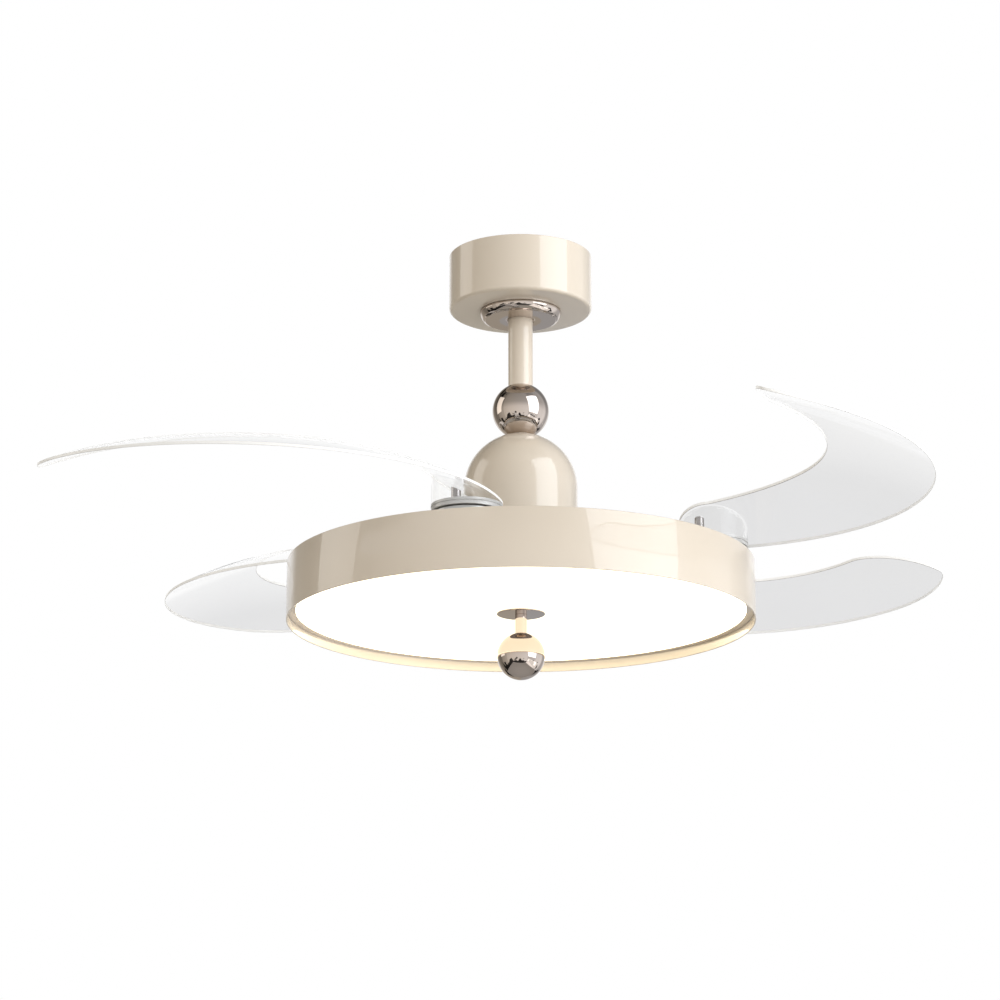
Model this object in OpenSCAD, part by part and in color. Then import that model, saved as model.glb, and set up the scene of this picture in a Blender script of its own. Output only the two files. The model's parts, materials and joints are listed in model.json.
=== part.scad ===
// Ceiling fan with four clear blades that fold in over a round lamp drum.
// The origin is on the ceiling, at the middle of the ceiling bar, and the fan hangs towards -Z.
// Heights in the lower part are measured up from the lower rim of the drum.

/* [Ceiling mount] */
// Distance from the ceiling down to the lower rim of the drum
drop = 411.5; // [405:0.5:440]
// Length of the ceiling bar
bar_l = 132; // [120:1:140]
// Width of the ceiling bar
bar_w = 36; // [30:1:40]
// Distance between the two ceiling screw holes
ceiling_spacing = 104; // [96:1:112]
// Radius of the ceiling screw holes
ceiling_hole_r = 3; // [2.5:0.25:3.5]
// Radius of the canopy
canopy_r = 78; // [76:1:90]
// Height of the canopy
canopy_h = 62.5; // [58:0.5:75]
// Radius of the rounded lower edge of the canopy
canopy_round = 4; // [2:0.5:6]
// Thickness of the canopy's sheet
canopy_sheet = 1.2; // [0.8:0.1:2]

/* [Downrod and trim] */
// Outer radius of the downrod
rod_r = 13.5; // [12:0.5:14]
// Bore radius of the downrod
rod_bore_r = 11; // [9:0.5:11.5]
// Upper radius of the chrome collar
collar_r = 44.5; // [40:0.5:48]
// Radius of the collar's flat lower face
collar_face_r = 37.5; // [34:0.5:39]
// Height of the collar
collar_h = 10.2; // [8:0.2:12]
// Radius of the chrome ball on the downrod
upper_ball_r = 30.7; // [28:0.1:32]
// Height of the ball's centre above the rim
upper_ball_h = 235.7; // [232:0.1:238]
// Radius of the dome
dome_r = 61.4; // [60:0.2:64]
// Height of the dome's centre above the rim
dome_h = 147.9; // [146:0.1:150]
// Height of the dome skirt's lower edge above the rim
dome_foot_h = 100; // [99:1:104]

/* [Lamp drum] */
// Outer radius of the drum
drum_r = 250; // [250:1:256]
// Height of the drum
drum_h = 62.5; // [60:0.5:64]
// Thickness of the drum's sheet
drum_sheet = 1.5; // [1:0.1:2]
// Radius of the diffuser
diffuser_r = 239.6; // [236:0.2:241]
// Height of the diffuser's lower face above the rim
diffuser_h = 10.5; // [8:0.5:12]
// Thickness of the diffuser
diffuser_t = 3; // [2:0.5:4]
// Height of the lamp chassis above the rim
chassis_h = 42; // [41:0.5:42.5]
// Number of LED chips on the inner circle
chips_inner = 20; // [12:1:24]
// Number of LED chips on the outer circle
chips_outer = 32; // [24:1:40]

/* [Finial] */
// Radius of the finial's rose
rose_r = 25.9; // [22:0.1:28]
// Radius of the finial's stem
stem_r = 6.35; // [5.5:0.05:7]
// Radius of the finial's ball
finial_r = 25.6; // [22:0.1:28]
// Distance from the rim down to the centre of the finial's ball
finial_drop = 36; // [34:0.5:40]

/* [Motor] */
// Radius of the motor shaft
shaft_r = 10; // [10:0.5:10]
// Bore radius of the motor shaft
shaft_bore_r = 6.5; // [5:0.5:7]
// Outer radius of the motor housing
motor_r = 77; // [76:0.5:78]
// Outer radius of the housing's flange
motor_flange_r = 92; // [90:0.5:94]
// Outer radius of the stator
stator_r = 64.5; // [62:0.5:65]
// Number of stator teeth
stator_teeth = 12; // [12:3:12]
// Number of magnets
magnets = 16; // [12:2:20]

/* [Blade carrier] */
// Distance of the blade pivots from the axis
pivot_r = 210; // [210:1:210]
// Bearing of the first blade's pivot, in degrees
first_pivot = -15; // [-90:1:90]
// Width of the rotor's arms
arm_w = 60; // [50:1:64]
// Radius of the round pad under each pivot
pad_r = 34; // [32:0.5:35]
// Radius of the blade's spindle
spindle_r = 6; // [5:0.5:6.5]
// Running clearance of the spindle in its bush
running_gap = 0.05; // [0.02:0.01:0.09]
// Distance of the stop lug from the spindle
stop_r = 24; // [23:0.5:25]

/* [Gears] */
// Module of the teeth
gear_module = 2.5; // [2.5:0.5:2.5]
// Number of teeth on a full blade gear
gear_teeth = 24; // [24:1:24]
// Number of teeth on a full synchronising ring
ring_teeth = 144; // [144:1:144]
// Inner radius of the synchronising ring
ring_bore_r = 160; // [156:1:164]
// Gap left between meshing flanks
backlash = 0.6; // [0.3:0.05:0.8]

/* [Blades] */
// Angle through which a blade folds, in degrees
fold = 94; // [90:1:96]
// Radius of the blade's round root
root_r = 36.5; // [35:0.5:37]
// Angle that the folded blade covers around the drum, in degrees
sweep = 153.5; // [140:0.5:156]
// Least distance of the folded blade's inner edge from the axis
waist_r = 140; // [130:1:150]
// Angle of that narrow place from the pivot, in degrees
waist_at = 100; // [90:1:110]
// Distance of the folded blade's tip from the axis
tip_r = 226; // [215:1:235]
// Angle where the outer corner begins to round, in degrees
outer_corner_at = 126; // [120:1:135]
// Angle where the inner corner begins to round, in degrees
inner_corner_at = 134; // [128:1:140]
// Height of the blade's lower skin at the outer edge of its root, above the rim
blade_h = 75.4; // [75.3:0.1:78]
// Rise of the outer edge from root to tip
tip_rise = 27.5; // [24:0.5:34]
// How late the rise comes
rise_power = 2.8; // [2:0.1:3.5]
// Slope of the blade across its root
root_slope = 0.43; // [0.4:0.01:0.45]
// Slope of the blade across its tip
tip_slope = 0.305; // [0.28:0.005:0.32]
// Camber of the blade's cross-section
camber = 4; // [2:0.5:5]
// Thickness of the blade, measured upright
blade_t = 3; // [2.5:0.1:3.2]
// Thickness of the clear wall of the round root
root_wall = 2.5; // [2:0.5:4]

/* [Hidden] */
$fn = 96;

CREAM = [0.84, 0.78, 0.69];
CHROME = [0.66, 0.62, 0.61];
STEEL = [0.62, 0.63, 0.65];
ZINC = [0.72, 0.73, 0.72];
WHITE = [0.95, 0.95, 0.93];
GLOW = [1, 0.98, 0.92];
NYLON = [0.90, 0.89, 0.84];
DARK = [0.2, 0.2, 0.22];
COPPER = [0.72, 0.42, 0.25];
BRONZE = [0.68, 0.52, 0.30];
BOARD = [0.93, 0.94, 0.92];
CLEAR = [0.86, 0.88, 0.89, 0.45];

// Clearance of still pieces that sit in one another
fit = 0.05;
blades = 4;

// Ceiling end
bar_t = 3;
pad_t = 3;
flange_t = 5;
flange_r = 40;
bar_disc_r = 38;
bolt_circle_r = 30;
bolt_r = 3;
bolt_head_r = 5.77;
bolt_head_h = 4;
flange_top_z = -bar_t - pad_t;
flange_low_z = flange_top_z - flange_t;
lead_hole_z = -24;
lead_hole_r = 5;
set_screw_r = 3;

// Inside the canopy
receiver = [76, 34, 24];
receiver_front_y = -62;
receiver_cap = [20, 14, 5];
block = [38, 18, 15];
block_front_y = 34;
block_wire_r = 2.5;
block_screw_r = 2;
collar_screw_z = -canopy_h - 5;

// The loom leaves the receiver box, enters the downrod and ends in the LED driver
loom_r = 3;
loom_sides = 12;
loom_join = [0, 0, -220];
upper_route = [
    [0, -45, -37.3], [0, -45, -33], [0, -43, -28], [0, -38, -24.6], [0, -30, -24], [0, -18, -24],
    [0, -10, -24.6], [0, -4, -27.5], [0, -0.8, -33], [0, 0, -40], loom_join
];
lower_route = [
    loom_join, [0, 0, -370], [0.6, 0, -376], [3, 0, -380.2], [8, 0, -382], [20, 0, -382], [42, 0, -382]
];

// Coupling and dome
ball_sheet = 1.5;
rod_end_h = 163;
coupling_r = 19;
coupling_low_h = 140;
coupling_top_h = 192;
shaft_end_h = 161;
rod_screw_h = 178;
shaft_screw_h = 150;
dome_bracket_h = 106;
dome_bracket_t = 2;
dome_lip_h = 101;
dome_screw_h = 103.5;
dome_sheet = 1.5;
bracket_hole_at = 36;
bracket_hole_r = 12;
screw_r = 1.5;
screw_head_r = 3;

// Lamp
drum_bore_r = drum_r - drum_sheet;
chassis_t = 1.5;
chassis_top_h = chassis_h + chassis_t;
tab_r = 236;
tab_screw_r = tab_r + 5;
tab_w = 16;
tab_t = 2;
tab_drop = 12;
tabs = 6;
board_in_r = 102;
board_out_r = 226;
board_t = 1.6;
chips_inner_r = board_in_r + 26;
chips_outer_r = board_out_r - 28;
chip_w = 5;
chip_t = 1;
driver_x = 42;
driver_w = 40;
driver_l = 110;
driver_h = 20;
bridge_h = 18;
bridge_t = 2;
bridge_y = 34;
bridge_w = 24;
bridge_foot_l = 10;
finial_rod_r = 4;
finial_rod_low_h = -finial_drop - 8;
finial_rod_top_h = 25;
rose_t = 1.5;
stem_in = 2;

// Motor
flange_of_shaft_r = 40;
shaft_flange_h = chassis_top_h;
shaft_flange_t = 4;
shaft_low_h = 33;
nut_r = 16;
nut_h = 7;
bearing_r = 21;
bearing_w = 12;
inner_ring_r = 13.2;
outer_ring_r = 17.8;
ball_r = 2.05;
balls = 9;
lower_bearing_h = 51;
upper_bearing_h = 81;
cover_hole_r = 15;
cover_low_h = 49;
cover_top_h = 95;
cover_t = 4;
lower_flange_t = 4.5;
motor_wall = 5;
seat_wall = 6;
core_low_h = 65;
core_h = 14;
core_hub_r = 34;
tooth_w = 9;
tooth_tip_r = 60;
coil_w = 15;
coil_in_r = 37;
coil_out_r = 58;
coil_over = 5;
magnet_in_r = 66;
magnet_low_h = 62.5;
magnet_h = 19;
magnet_gap = 3;
motor_screw_r = 2.5;
motor_screws = 8;
motor_screw_circle_r = 85;

// Blade carrier
plate_h = 62;
plate_t = 5;
plate_ring_r = motor_flange_r + 6;
plate_top_h = plate_h + plate_t;
bush_r = 8;
bush_flange_r = 21.5;
bush_flange_t = 0.7;
bush_low_h = 60.6;
hub_h = 68;
hub_top_h = 75.2;
spring_well_r = 16.5;
spring_well_t = 5;
spring_gap = 0.6;
lug_r = 1.8;
stop_gap = 0.5;
// The lug stands this far round from the arm's line when the blade is open
lug_at = fold / 2;
guide_at_r = ring_bore_r - 9;
guide_r = 8.7;
guide_flange_r = 12;
guide_flange_t = 2;
gear_h = 52;
gear_t = 8;
gear_hole_at = 16;
gear_hole_r = 4;
nut_low_h = 47.2;
nut_t = 4.3;
small_nut_r = 7.5;
stud_r = 4;
guide_screw_r = 2;
blade_screw_r = 1.5;
blade_screw_at = [20, 140];
blade_screw_circle_r = 30.5;
blade_screw_in = 2;
blade_screw_head_r = 3.3;
blade_screw_head_h = 2.5;
boss_r = 3.5;
boss_h = 3;
column_r = 5;
column_at = 138;
column_circle_r = 18.8;
wall_inset = 0.6;

// Blade outline and skin, all in the folded place with the pivot on +X
reach_r = pivot_r + root_r;
root_steps = 8;
span_steps = 44;
chord_steps = 7;
tip_stop = 0.03;

// ------------------------------------------------------------------ helpers

// Moves a piece whose heights are measured up from the drum's lower rim
module from_rim() {
    translate([0, 0, -drop]) children();
}

// Repeats a piece around the axis
module around(count, start = 0) {
    for (i = [0 : count - 1]) {
        rotate(start + i * 360 / count) children();
    }
}

// Turns a piece that lies at the first arm to the arm of blade k, counted from 0
module at_arm(k) {
    rotate(first_pivot + k * 360 / blades) children();
}

// Turns a piece of the folded blade k out to the open blade
module opened(k) {
    at_arm(k) translate([pivot_r, 0, 0]) rotate(fold) children();
}

module tube(r_out, r_in, h) {
    difference() {
        cylinder(r = r_out, h = h);
        translate([0, 0, -1]) cylinder(r = r_in, h = h + 2);
    }
}

module screw(r, length, head_r, head_h) {
    cylinder(r = r, h = length);
    translate([0, 0, length]) cylinder(r = head_r, h = head_h);
}

// ------------------------------------------------------------ ceiling end

module ceiling_bar() color(STEEL) {
    difference() {
        union() {
            translate([-bar_l / 2 + bar_w / 2, -bar_w / 2, -bar_t]) cube([bar_l - bar_w, bar_w, bar_t]);
            for (x = [-1, 1]) {
                translate([x * (bar_l - bar_w) / 2, 0, -bar_t]) cylinder(r = bar_w / 2, h = bar_t);
            }
            translate([0, 0, -bar_t]) cylinder(r = bar_disc_r, h = bar_t);
        }
        for (x = [-1, 1]) {
            translate([x * ceiling_spacing / 2, 0, -bar_t - 1])
                cylinder(r = ceiling_hole_r, h = bar_t + 2);
        }
        translate([0, 0, -bar_t - 1]) cylinder(r = rod_bore_r, h = bar_t + 2);
        around(4, 45) translate([bolt_circle_r, 0, -bar_t - 1])
            cylinder(r = bolt_r + fit, h = bar_t + 2);
    }
}

module rubber_pad() color(DARK) {
    translate([0, 0, -bar_t - pad_t]) difference() {
        tube(bar_disc_r, rod_bore_r, pad_t);
        around(4, 45) translate([bolt_circle_r, 0, -1]) cylinder(r = bolt_r + fit, h = pad_t + 2);
    }
}

module downrod() color(CREAM) {
    rod_low_z = rod_end_h - drop;
    difference() {
        union() {
            translate([0, 0, rod_low_z]) cylinder(r = rod_r, h = flange_low_z - rod_low_z);
            translate([0, 0, flange_low_z]) cylinder(r = flange_r, h = flange_t);
        }
        translate([0, 0, rod_low_z - 1]) cylinder(r = rod_bore_r, h = -rod_low_z);
        around(4, 45) translate([bolt_circle_r, 0, flange_low_z - 1])
            cylinder(r = bolt_r + fit, h = flange_t + 2);
        translate([0, 0, lead_hole_z]) rotate([90, 0, 0]) cylinder(r = lead_hole_r, h = rod_r + 2);
    }
}

module hanger_bolts() color(STEEL) {
    around(4, 45) translate([bolt_circle_r, 0, 0]) {
        translate([0, 0, flange_low_z]) cylinder(r = bolt_r, h = -flange_low_z);
        translate([0, 0, flange_low_z - bolt_head_h])
            cylinder(r = bolt_head_r, h = bolt_head_h, $fn = 6);
    }
}

module canopy() color(CREAM) {
    round_in = canopy_round - canopy_sheet;
    rotate_extrude() difference() {
        union() {
            translate([0, -canopy_h + canopy_round]) square([canopy_r, canopy_h - canopy_round]);
            translate([0, -canopy_h]) square([canopy_r - canopy_round, canopy_round]);
            translate([canopy_r - canopy_round, -canopy_h + canopy_round]) circle(r = canopy_round);
        }
        translate([-1, -canopy_h + canopy_round])
            square([canopy_r - canopy_sheet + 1, canopy_h]);
        translate([-1, -canopy_h + canopy_sheet]) square([canopy_r - canopy_round + 1, canopy_h]);
        translate([canopy_r - canopy_round, -canopy_h + canopy_round]) circle(r = round_in);
        translate([-1, -canopy_h - 1]) square([rod_r + fit + 1, canopy_h]);
    }
}

// Chrome ring with a bulging side that holds the canopy up
module canopy_collar() color(CHROME) {
    top_z = -canopy_h;
    bulge_r = (collar_r + collar_face_r) / 2 + 1.2;
    difference() {
        translate([0, 0, top_z]) rotate_extrude() polygon([
            [rod_r + fit, 0], [collar_r, 0], [collar_r, -2.2], [collar_r - 0.5, -4],
            [bulge_r, -7.6], [collar_face_r + 0.8, -collar_h + 0.3], [collar_face_r, -collar_h],
            [rod_r + fit, -collar_h]
        ]);
        rotate(90) translate([0, 0, collar_screw_z]) rotate([0, 90, 0])
            cylinder(r = set_screw_r + fit, h = collar_r + 2);
    }
}

// Headless screws that clamp the collar, the downrod and the motor shaft
module set_screws() color(STEEL) {
    rotate(90) translate([rod_r, 0, collar_screw_z]) rotate([0, 90, 0])
        cylinder(r = set_screw_r, h = 24);
    from_rim() {
        around(2, 0) translate([rod_r, 0, rod_screw_h]) rotate([0, 90, 0])
            cylinder(r = set_screw_r, h = 9);
        around(2, 90) translate([shaft_r, 0, shaft_screw_h]) rotate([0, 90, 0])
            cylinder(r = set_screw_r, h = 12);
    }
}

module receiver_box() color(WHITE) {
    translate([-receiver[0] / 2, receiver_front_y, -canopy_h + canopy_sheet]) {
        cube(receiver);
        translate([8, 10, receiver[2]]) cube(receiver_cap);
    }
}

// Three-pole block for the supply wires, on the canopy's floor
module terminal_block() color(WHITE) {
    translate([-block[0] / 2, block_front_y, -canopy_h + canopy_sheet]) difference() {
        cube(block);
        for (x = [7, 19, 31]) {
            translate([x, -1, 6]) rotate([-90, 0, 0]) cylinder(r = block_wire_r, h = block[1] + 2);
            translate([x, block[1] / 2, 6]) cylinder(r = block_screw_r, h = block[2]);
        }
    }
}

function unit(v) = v / norm(v);
function heading(p, i) =
    i == 0 ? unit(p[1] - p[0]) :
    i == len(p) - 1 ? unit(p[i] - p[i - 1]) : unit(unit(p[i + 1] - p[i]) + unit(p[i] - p[i - 1]));

module wire_loom() color(DARK) {
    cable(upper_route, [1, 0, 0]);
    cable(lower_route, [0, 1, 0]);
}

// Cable along points that all lie in the plane square to side
module cable(p, side) {
    n = loom_sides;
    rows = len(p);
    pts = [for (i = [0 : rows - 1]) let (d = heading(p, i), up = cross(d, side))
        for (k = [0 : n - 1]) p[i] + loom_r * (cos(k * 360 / n) * side + sin(k * 360 / n) * up)];
    skin = [for (i = [0 : rows - 2], k = [0 : n - 1])
        [i * n + k, i * n + (k + 1) % n, (i + 1) * n + (k + 1) % n, (i + 1) * n + k]];
    ends = [[for (k = [n - 1 : -1 : 0]) k], [for (k = [0 : n - 1]) (rows - 1) * n + k]];
    polyhedron(points = pts, faces = concat(skin, ends), convexity = 4);
}

// ------------------------------------------------------------ trim on the rod

module upper_ball() color(CHROME) {
    from_rim() translate([0, 0, upper_ball_h]) difference() {
        sphere(r = upper_ball_r);
        sphere(r = upper_ball_r - ball_sheet);
        translate([0, 0, -upper_ball_r - 1]) cylinder(r = rod_r + fit, h = 2 * upper_ball_r + 2);
    }
}

module dome_cover() color(CREAM) {
    inside_r = dome_r - dome_sheet;
    from_rim() difference() {
        union() {
            translate([0, 0, dome_h]) sphere(r = dome_r);
            translate([0, 0, dome_foot_h]) cylinder(r = dome_r, h = dome_h - dome_foot_h);
        }
        translate([0, 0, dome_h]) sphere(r = inside_r);
        translate([0, 0, dome_foot_h - dome_r]) cylinder(r = inside_r, h = dome_h - dome_foot_h + dome_r);
        translate([0, 0, dome_foot_h - dome_r]) cylinder(r = dome_r + 1, h = dome_r);
        translate([0, 0, dome_h]) cylinder(r = rod_r + fit, h = dome_r + 1);
        around(3, 30) translate([0, 0, dome_screw_h]) rotate([0, 90, 0])
            cylinder(r = screw_r + fit, h = dome_r + 2);
    }
}

// Slotted disc inside the dome's skirt, clamped on the motor shaft
module dome_bracket() color(STEEL) {
    out_r = dome_r - dome_sheet - fit;
    from_rim() difference() {
        union() {
            translate([0, 0, dome_bracket_h]) cylinder(r = out_r, h = dome_bracket_t);
            translate([0, 0, dome_lip_h]) tube(out_r, out_r - 2, dome_bracket_h - dome_lip_h + 1);
        }
        translate([0, 0, dome_bracket_h - 1]) cylinder(r = shaft_r + fit, h = dome_bracket_t + 2);
        around(3, 90) translate([bracket_hole_at, 0, dome_bracket_h - 1])
            cylinder(r = bracket_hole_r, h = dome_bracket_t + 2);
        around(3, 30) translate([0, 0, dome_screw_h]) rotate([0, 90, 0])
            cylinder(r = screw_r + fit, h = dome_r + 2);
    }
}

// Screws through the dome's skirt and through the lamp chassis
module small_screws() color(STEEL) {
    from_rim() {
        around(3, 30) translate([dome_r - 5, 0, dome_screw_h]) rotate([0, 90, 0])
            screw(screw_r, 5, screw_head_r, 1.6);
        around(tabs) translate([tab_screw_r, 0, chassis_h - 4])
            screw(screw_r, 4 + chassis_t, screw_head_r, 2);
    }
}

module coupling() color(STEEL) {
    from_rim() difference() {
        translate([0, 0, coupling_low_h]) cylinder(r = coupling_r, h = coupling_top_h - coupling_low_h);
        translate([0, 0, rod_end_h]) cylinder(r = rod_r + fit, h = coupling_top_h);
        translate([0, 0, coupling_low_h - 1])
            cylinder(r = shaft_r + fit, h = shaft_end_h - coupling_low_h + 1);
        translate([0, 0, coupling_low_h - 1]) cylinder(r = shaft_bore_r, h = coupling_top_h);
        around(2, 0) translate([0, 0, rod_screw_h]) rotate([0, 90, 0])
            cylinder(r = set_screw_r + fit, h = coupling_r + 2);
        around(2, 90) translate([0, 0, shaft_screw_h]) rotate([0, 90, 0])
            cylinder(r = set_screw_r + fit, h = coupling_r + 2);
    }
}

// ------------------------------------------------------------ motor, still side

module motor_shaft() color(STEEL) {
    from_rim() difference() {
        union() {
            translate([0, 0, shaft_low_h]) cylinder(r = shaft_r, h = shaft_end_h - shaft_low_h);
            translate([0, 0, shaft_flange_h]) cylinder(r = flange_of_shaft_r, h = shaft_flange_t);
            translate([0, 0, shaft_flange_h])
                cylinder(r = inner_ring_r, h = lower_bearing_h - shaft_flange_h);
        }
        translate([0, 0, shaft_low_h - 1]) cylinder(r = shaft_bore_r, h = shaft_end_h);
    }
}

// Six-sided nuts: under the chassis, on both sides of the dome bracket, and on the finial rod
module lock_nuts() color(STEEL) {
    collar_low_h = upper_bearing_h + bearing_w;
    from_rim() {
        difference() {
            union() {
                for (h = [chassis_h - nut_h, dome_bracket_h + dome_bracket_t, dome_bracket_h - nut_h]) {
                    translate([0, 0, h]) cylinder(r = nut_r, h = nut_h, $fn = 6);
                }
                // Collar of the lower dome nut, which clamps the upper bearing
                translate([0, 0, collar_low_h])
                    cylinder(r = inner_ring_r, h = dome_bracket_h - nut_h - collar_low_h);
            }
            translate([0, 0, shaft_low_h]) cylinder(r = shaft_r + fit, h = shaft_end_h - shaft_low_h);
        }
        translate([0, 0, bridge_h + bridge_t]) difference() {
            cylinder(r = small_nut_r, h = 4, $fn = 6);
            translate([0, 0, -1]) cylinder(r = finial_rod_r + fit, h = 6);
        }
    }
}

module stator_core() color(STEEL) {
    from_rim() difference() {
        union() {
            translate([0, 0, core_low_h]) cylinder(r = core_hub_r, h = core_h);
            translate([0, 0, lower_bearing_h + bearing_w]) cylinder(
                r = inner_ring_r, h = upper_bearing_h - lower_bearing_h - bearing_w);
            around(stator_teeth) {
                translate([core_hub_r - 2, -tooth_w / 2, core_low_h])
                    cube([tooth_tip_r - core_hub_r + 3, tooth_w, core_h]);
                intersection() {
                    translate([0, 0, core_low_h]) tube(stator_r, tooth_tip_r, core_h);
                    translate([tooth_tip_r - 2, -13, core_low_h]) cube([10, 26, core_h]);
                }
            }
        }
        translate([0, 0, lower_bearing_h]) cylinder(r = shaft_r + fit, h = upper_bearing_h);
    }
}

module motor_windings() color(COPPER) {
    from_rim() around(stator_teeth) difference() {
        translate([coil_in_r, -coil_w / 2, core_low_h - coil_over])
            cube([coil_out_r - coil_in_r, coil_w, core_h + 2 * coil_over]);
        translate([coil_in_r - 1, -tooth_w / 2 - fit, core_low_h - fit])
            cube([coil_out_r - coil_in_r + 2, tooth_w + 2 * fit, core_h + 2 * fit]);
    }
}

module bearing_inner_rings() color(CHROME) {
    from_rim() for (h = [lower_bearing_h, upper_bearing_h]) {
        translate([0, 0, h]) tube(inner_ring_r, shaft_r + fit, bearing_w);
    }
}

// ------------------------------------------------------------ lamp

module drum_shell() color(CREAM) {
    edge = drum_sheet / 2;
    from_rim() {
        rotate_extrude($fn = 180) union() {
            translate([drum_bore_r, edge]) square([drum_sheet, drum_h - 2 * edge]);
            for (h = [edge, drum_h - edge]) {
                translate([drum_r - edge, h]) circle(r = edge, $fn = 24);
            }
        }
        // Tabs that carry the lamp chassis
        around(tabs) difference() {
            union() {
                translate([tab_r, -tab_w / 2, chassis_h - tab_t])
                    cube([drum_bore_r - tab_r + drum_sheet / 2, tab_w, tab_t]);
                translate([drum_bore_r - tab_t, -tab_w / 2, chassis_h - tab_drop])
                    cube([tab_t + drum_sheet / 2, tab_w, tab_drop]);
            }
            translate([tab_screw_r, 0, chassis_h - tab_t - 1]) cylinder(r = screw_r + fit, h = tab_t + 2);
        }
    }
}

module lamp_chassis() color(WHITE) {
    from_rim() difference() {
        translate([0, 0, chassis_h]) tube(drum_bore_r - 0.1, shaft_r + fit, chassis_t);
        around(tabs) translate([tab_screw_r, 0, chassis_h - 1])
            cylinder(r = screw_r + fit, h = chassis_t + 2);
    }
}

module diffuser_ring() color(CREAM) {
    lip = 7.5;
    from_rim() translate([0, 0, diffuser_h]) difference() {
        cylinder(r = drum_bore_r - fit, h = diffuser_t + 1.5, $fn = 180);
        translate([0, 0, -1]) cylinder(r = diffuser_r + 0.3, h = diffuser_t + 1, $fn = 180);
        translate([0, 0, -1]) cylinder(r = diffuser_r - lip, h = diffuser_t + 4, $fn = 180);
    }
}

module diffuser() color(GLOW) {
    from_rim() translate([0, 0, diffuser_h]) difference() {
        cylinder(r = diffuser_r, h = diffuser_t, $fn = 180);
        translate([0, 0, -1]) cylinder(r = finial_rod_r + fit, h = diffuser_t + 2);
    }
}

module led_board() color(BOARD) {
    from_rim() translate([0, 0, chassis_h - board_t]) tube(board_out_r, board_in_r, board_t);
}

module led_chips() color([0.98, 0.9, 0.55]) {
    from_rim() translate([0, 0, chassis_h - board_t - chip_t]) {
        around(chips_inner) translate([chips_inner_r, -chip_w / 2, 0]) cube([chip_w, chip_w, chip_t]);
        around(chips_outer) translate([chips_outer_r, -chip_w / 2, 0]) cube([chip_w, chip_w, chip_t]);
    }
}

module led_driver() color(WHITE) {
    from_rim() translate([driver_x, -driver_l / 2, driver_h])
        cube([driver_w, driver_l, chassis_h - driver_h]);
}

module finial_bridge() color(STEEL) {
    from_rim() difference() {
        union() {
            translate([-bridge_w / 2, -bridge_y, bridge_h]) cube([bridge_w, 2 * bridge_y, bridge_t]);
            for (y = [-bridge_y, bridge_y - bridge_t]) {
                translate([-bridge_w / 2, y, bridge_h]) cube([bridge_w, bridge_t, chassis_h - bridge_h]);
            }
            for (y = [-bridge_y - bridge_foot_l, bridge_y - bridge_t]) {
                translate([-bridge_w / 2, y, chassis_h - bridge_t])
                    cube([bridge_w, bridge_foot_l + bridge_t, bridge_t]);
            }
        }
        translate([0, 0, bridge_h - 1]) cylinder(r = finial_rod_r + fit, h = bridge_t + 2);
    }
}

module finial_rod() color(STEEL) {
    from_rim() translate([0, 0, finial_rod_low_h])
        cylinder(r = finial_rod_r, h = finial_rod_top_h - finial_rod_low_h);
}

module finial_rose() color(CHROME) {
    from_rim() translate([0, 0, diffuser_h]) rotate_extrude() polygon([
        [finial_rod_r + fit, 0], [rose_r, 0], [rose_r, -rose_t / 2], [rose_r - 0.8, -rose_t],
        [finial_rod_r + fit, -rose_t]
    ]);
}

module finial_stem() color(CHROME) {
    low_h = -finial_drop + finial_r - stem_in;
    from_rim() translate([0, 0, low_h]) tube(stem_r, finial_rod_r + fit, diffuser_h - rose_t - low_h);
}

module finial_ball() color(CHROME) {
    from_rim() translate([0, 0, -finial_drop]) difference() {
        sphere(r = finial_r);
        translate([0, 0, -8]) cylinder(r = finial_rod_r + fit, h = finial_r + 10);
        translate([0, 0, finial_r - stem_in]) cylinder(r = stem_r + fit, h = 2 * stem_in);
    }
}

// ------------------------------------------------------------ motor, turning side

module motor_screw_holes(h, depth) {
    around(motor_screws) translate([motor_screw_circle_r, 0, h])
        cylinder(r = motor_screw_r + fit, h = depth);
}

module motor_lower_cover() color(ZINC) {
    from_rim() difference() {
        union() {
            translate([0, 0, cover_low_h]) cylinder(r = motor_r, h = plate_h - cover_low_h);
            translate([0, 0, plate_h - lower_flange_t]) cylinder(r = motor_flange_r, h = lower_flange_t);
        }
        difference() {
            translate([0, 0, cover_low_h + cover_t]) cylinder(r = motor_r - motor_wall, h = 20);
            translate([0, 0, cover_low_h]) cylinder(r = bearing_r + seat_wall, h = 14);
        }
        translate([0, 0, lower_bearing_h]) cylinder(r = bearing_r + fit, h = 20);
        translate([0, 0, cover_low_h - 1]) cylinder(r = cover_hole_r, h = 20);
        motor_screw_holes(cover_low_h, 20);
    }
}

module motor_upper_cover() color(ZINC) {
    from_rim() difference() {
        union() {
            translate([0, 0, plate_h]) cylinder(r = motor_r, h = cover_top_h - plate_h);
            translate([0, 0, plate_top_h]) cylinder(r = motor_flange_r, h = cover_t);
        }
        difference() {
            translate([0, 0, plate_h - 1])
                cylinder(r = motor_r - motor_wall, h = cover_top_h - cover_t - plate_h + 1);
            translate([0, 0, upper_bearing_h]) cylinder(r = bearing_r + seat_wall, h = 20);
        }
        translate([0, 0, upper_bearing_h - 1]) cylinder(r = bearing_r + fit, h = bearing_w + 1);
        translate([0, 0, upper_bearing_h - 1]) cylinder(r = cover_hole_r, h = 30);
        motor_screw_holes(plate_h, 20);
    }
}

module motor_magnets() color(DARK) {
    from_rim() translate([0, 0, magnet_low_h]) difference() {
        tube(motor_r - motor_wall - fit, magnet_in_r, magnet_h);
        around(magnets) translate([0, -magnet_gap / 2, -1]) cube([motor_r, magnet_gap, magnet_h + 2]);
    }
}

module bearing_outer_rings() color(CHROME) {
    from_rim() for (h = [lower_bearing_h, upper_bearing_h]) {
        translate([0, 0, h]) tube(bearing_r, outer_ring_r, bearing_w);
    }
}

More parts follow.
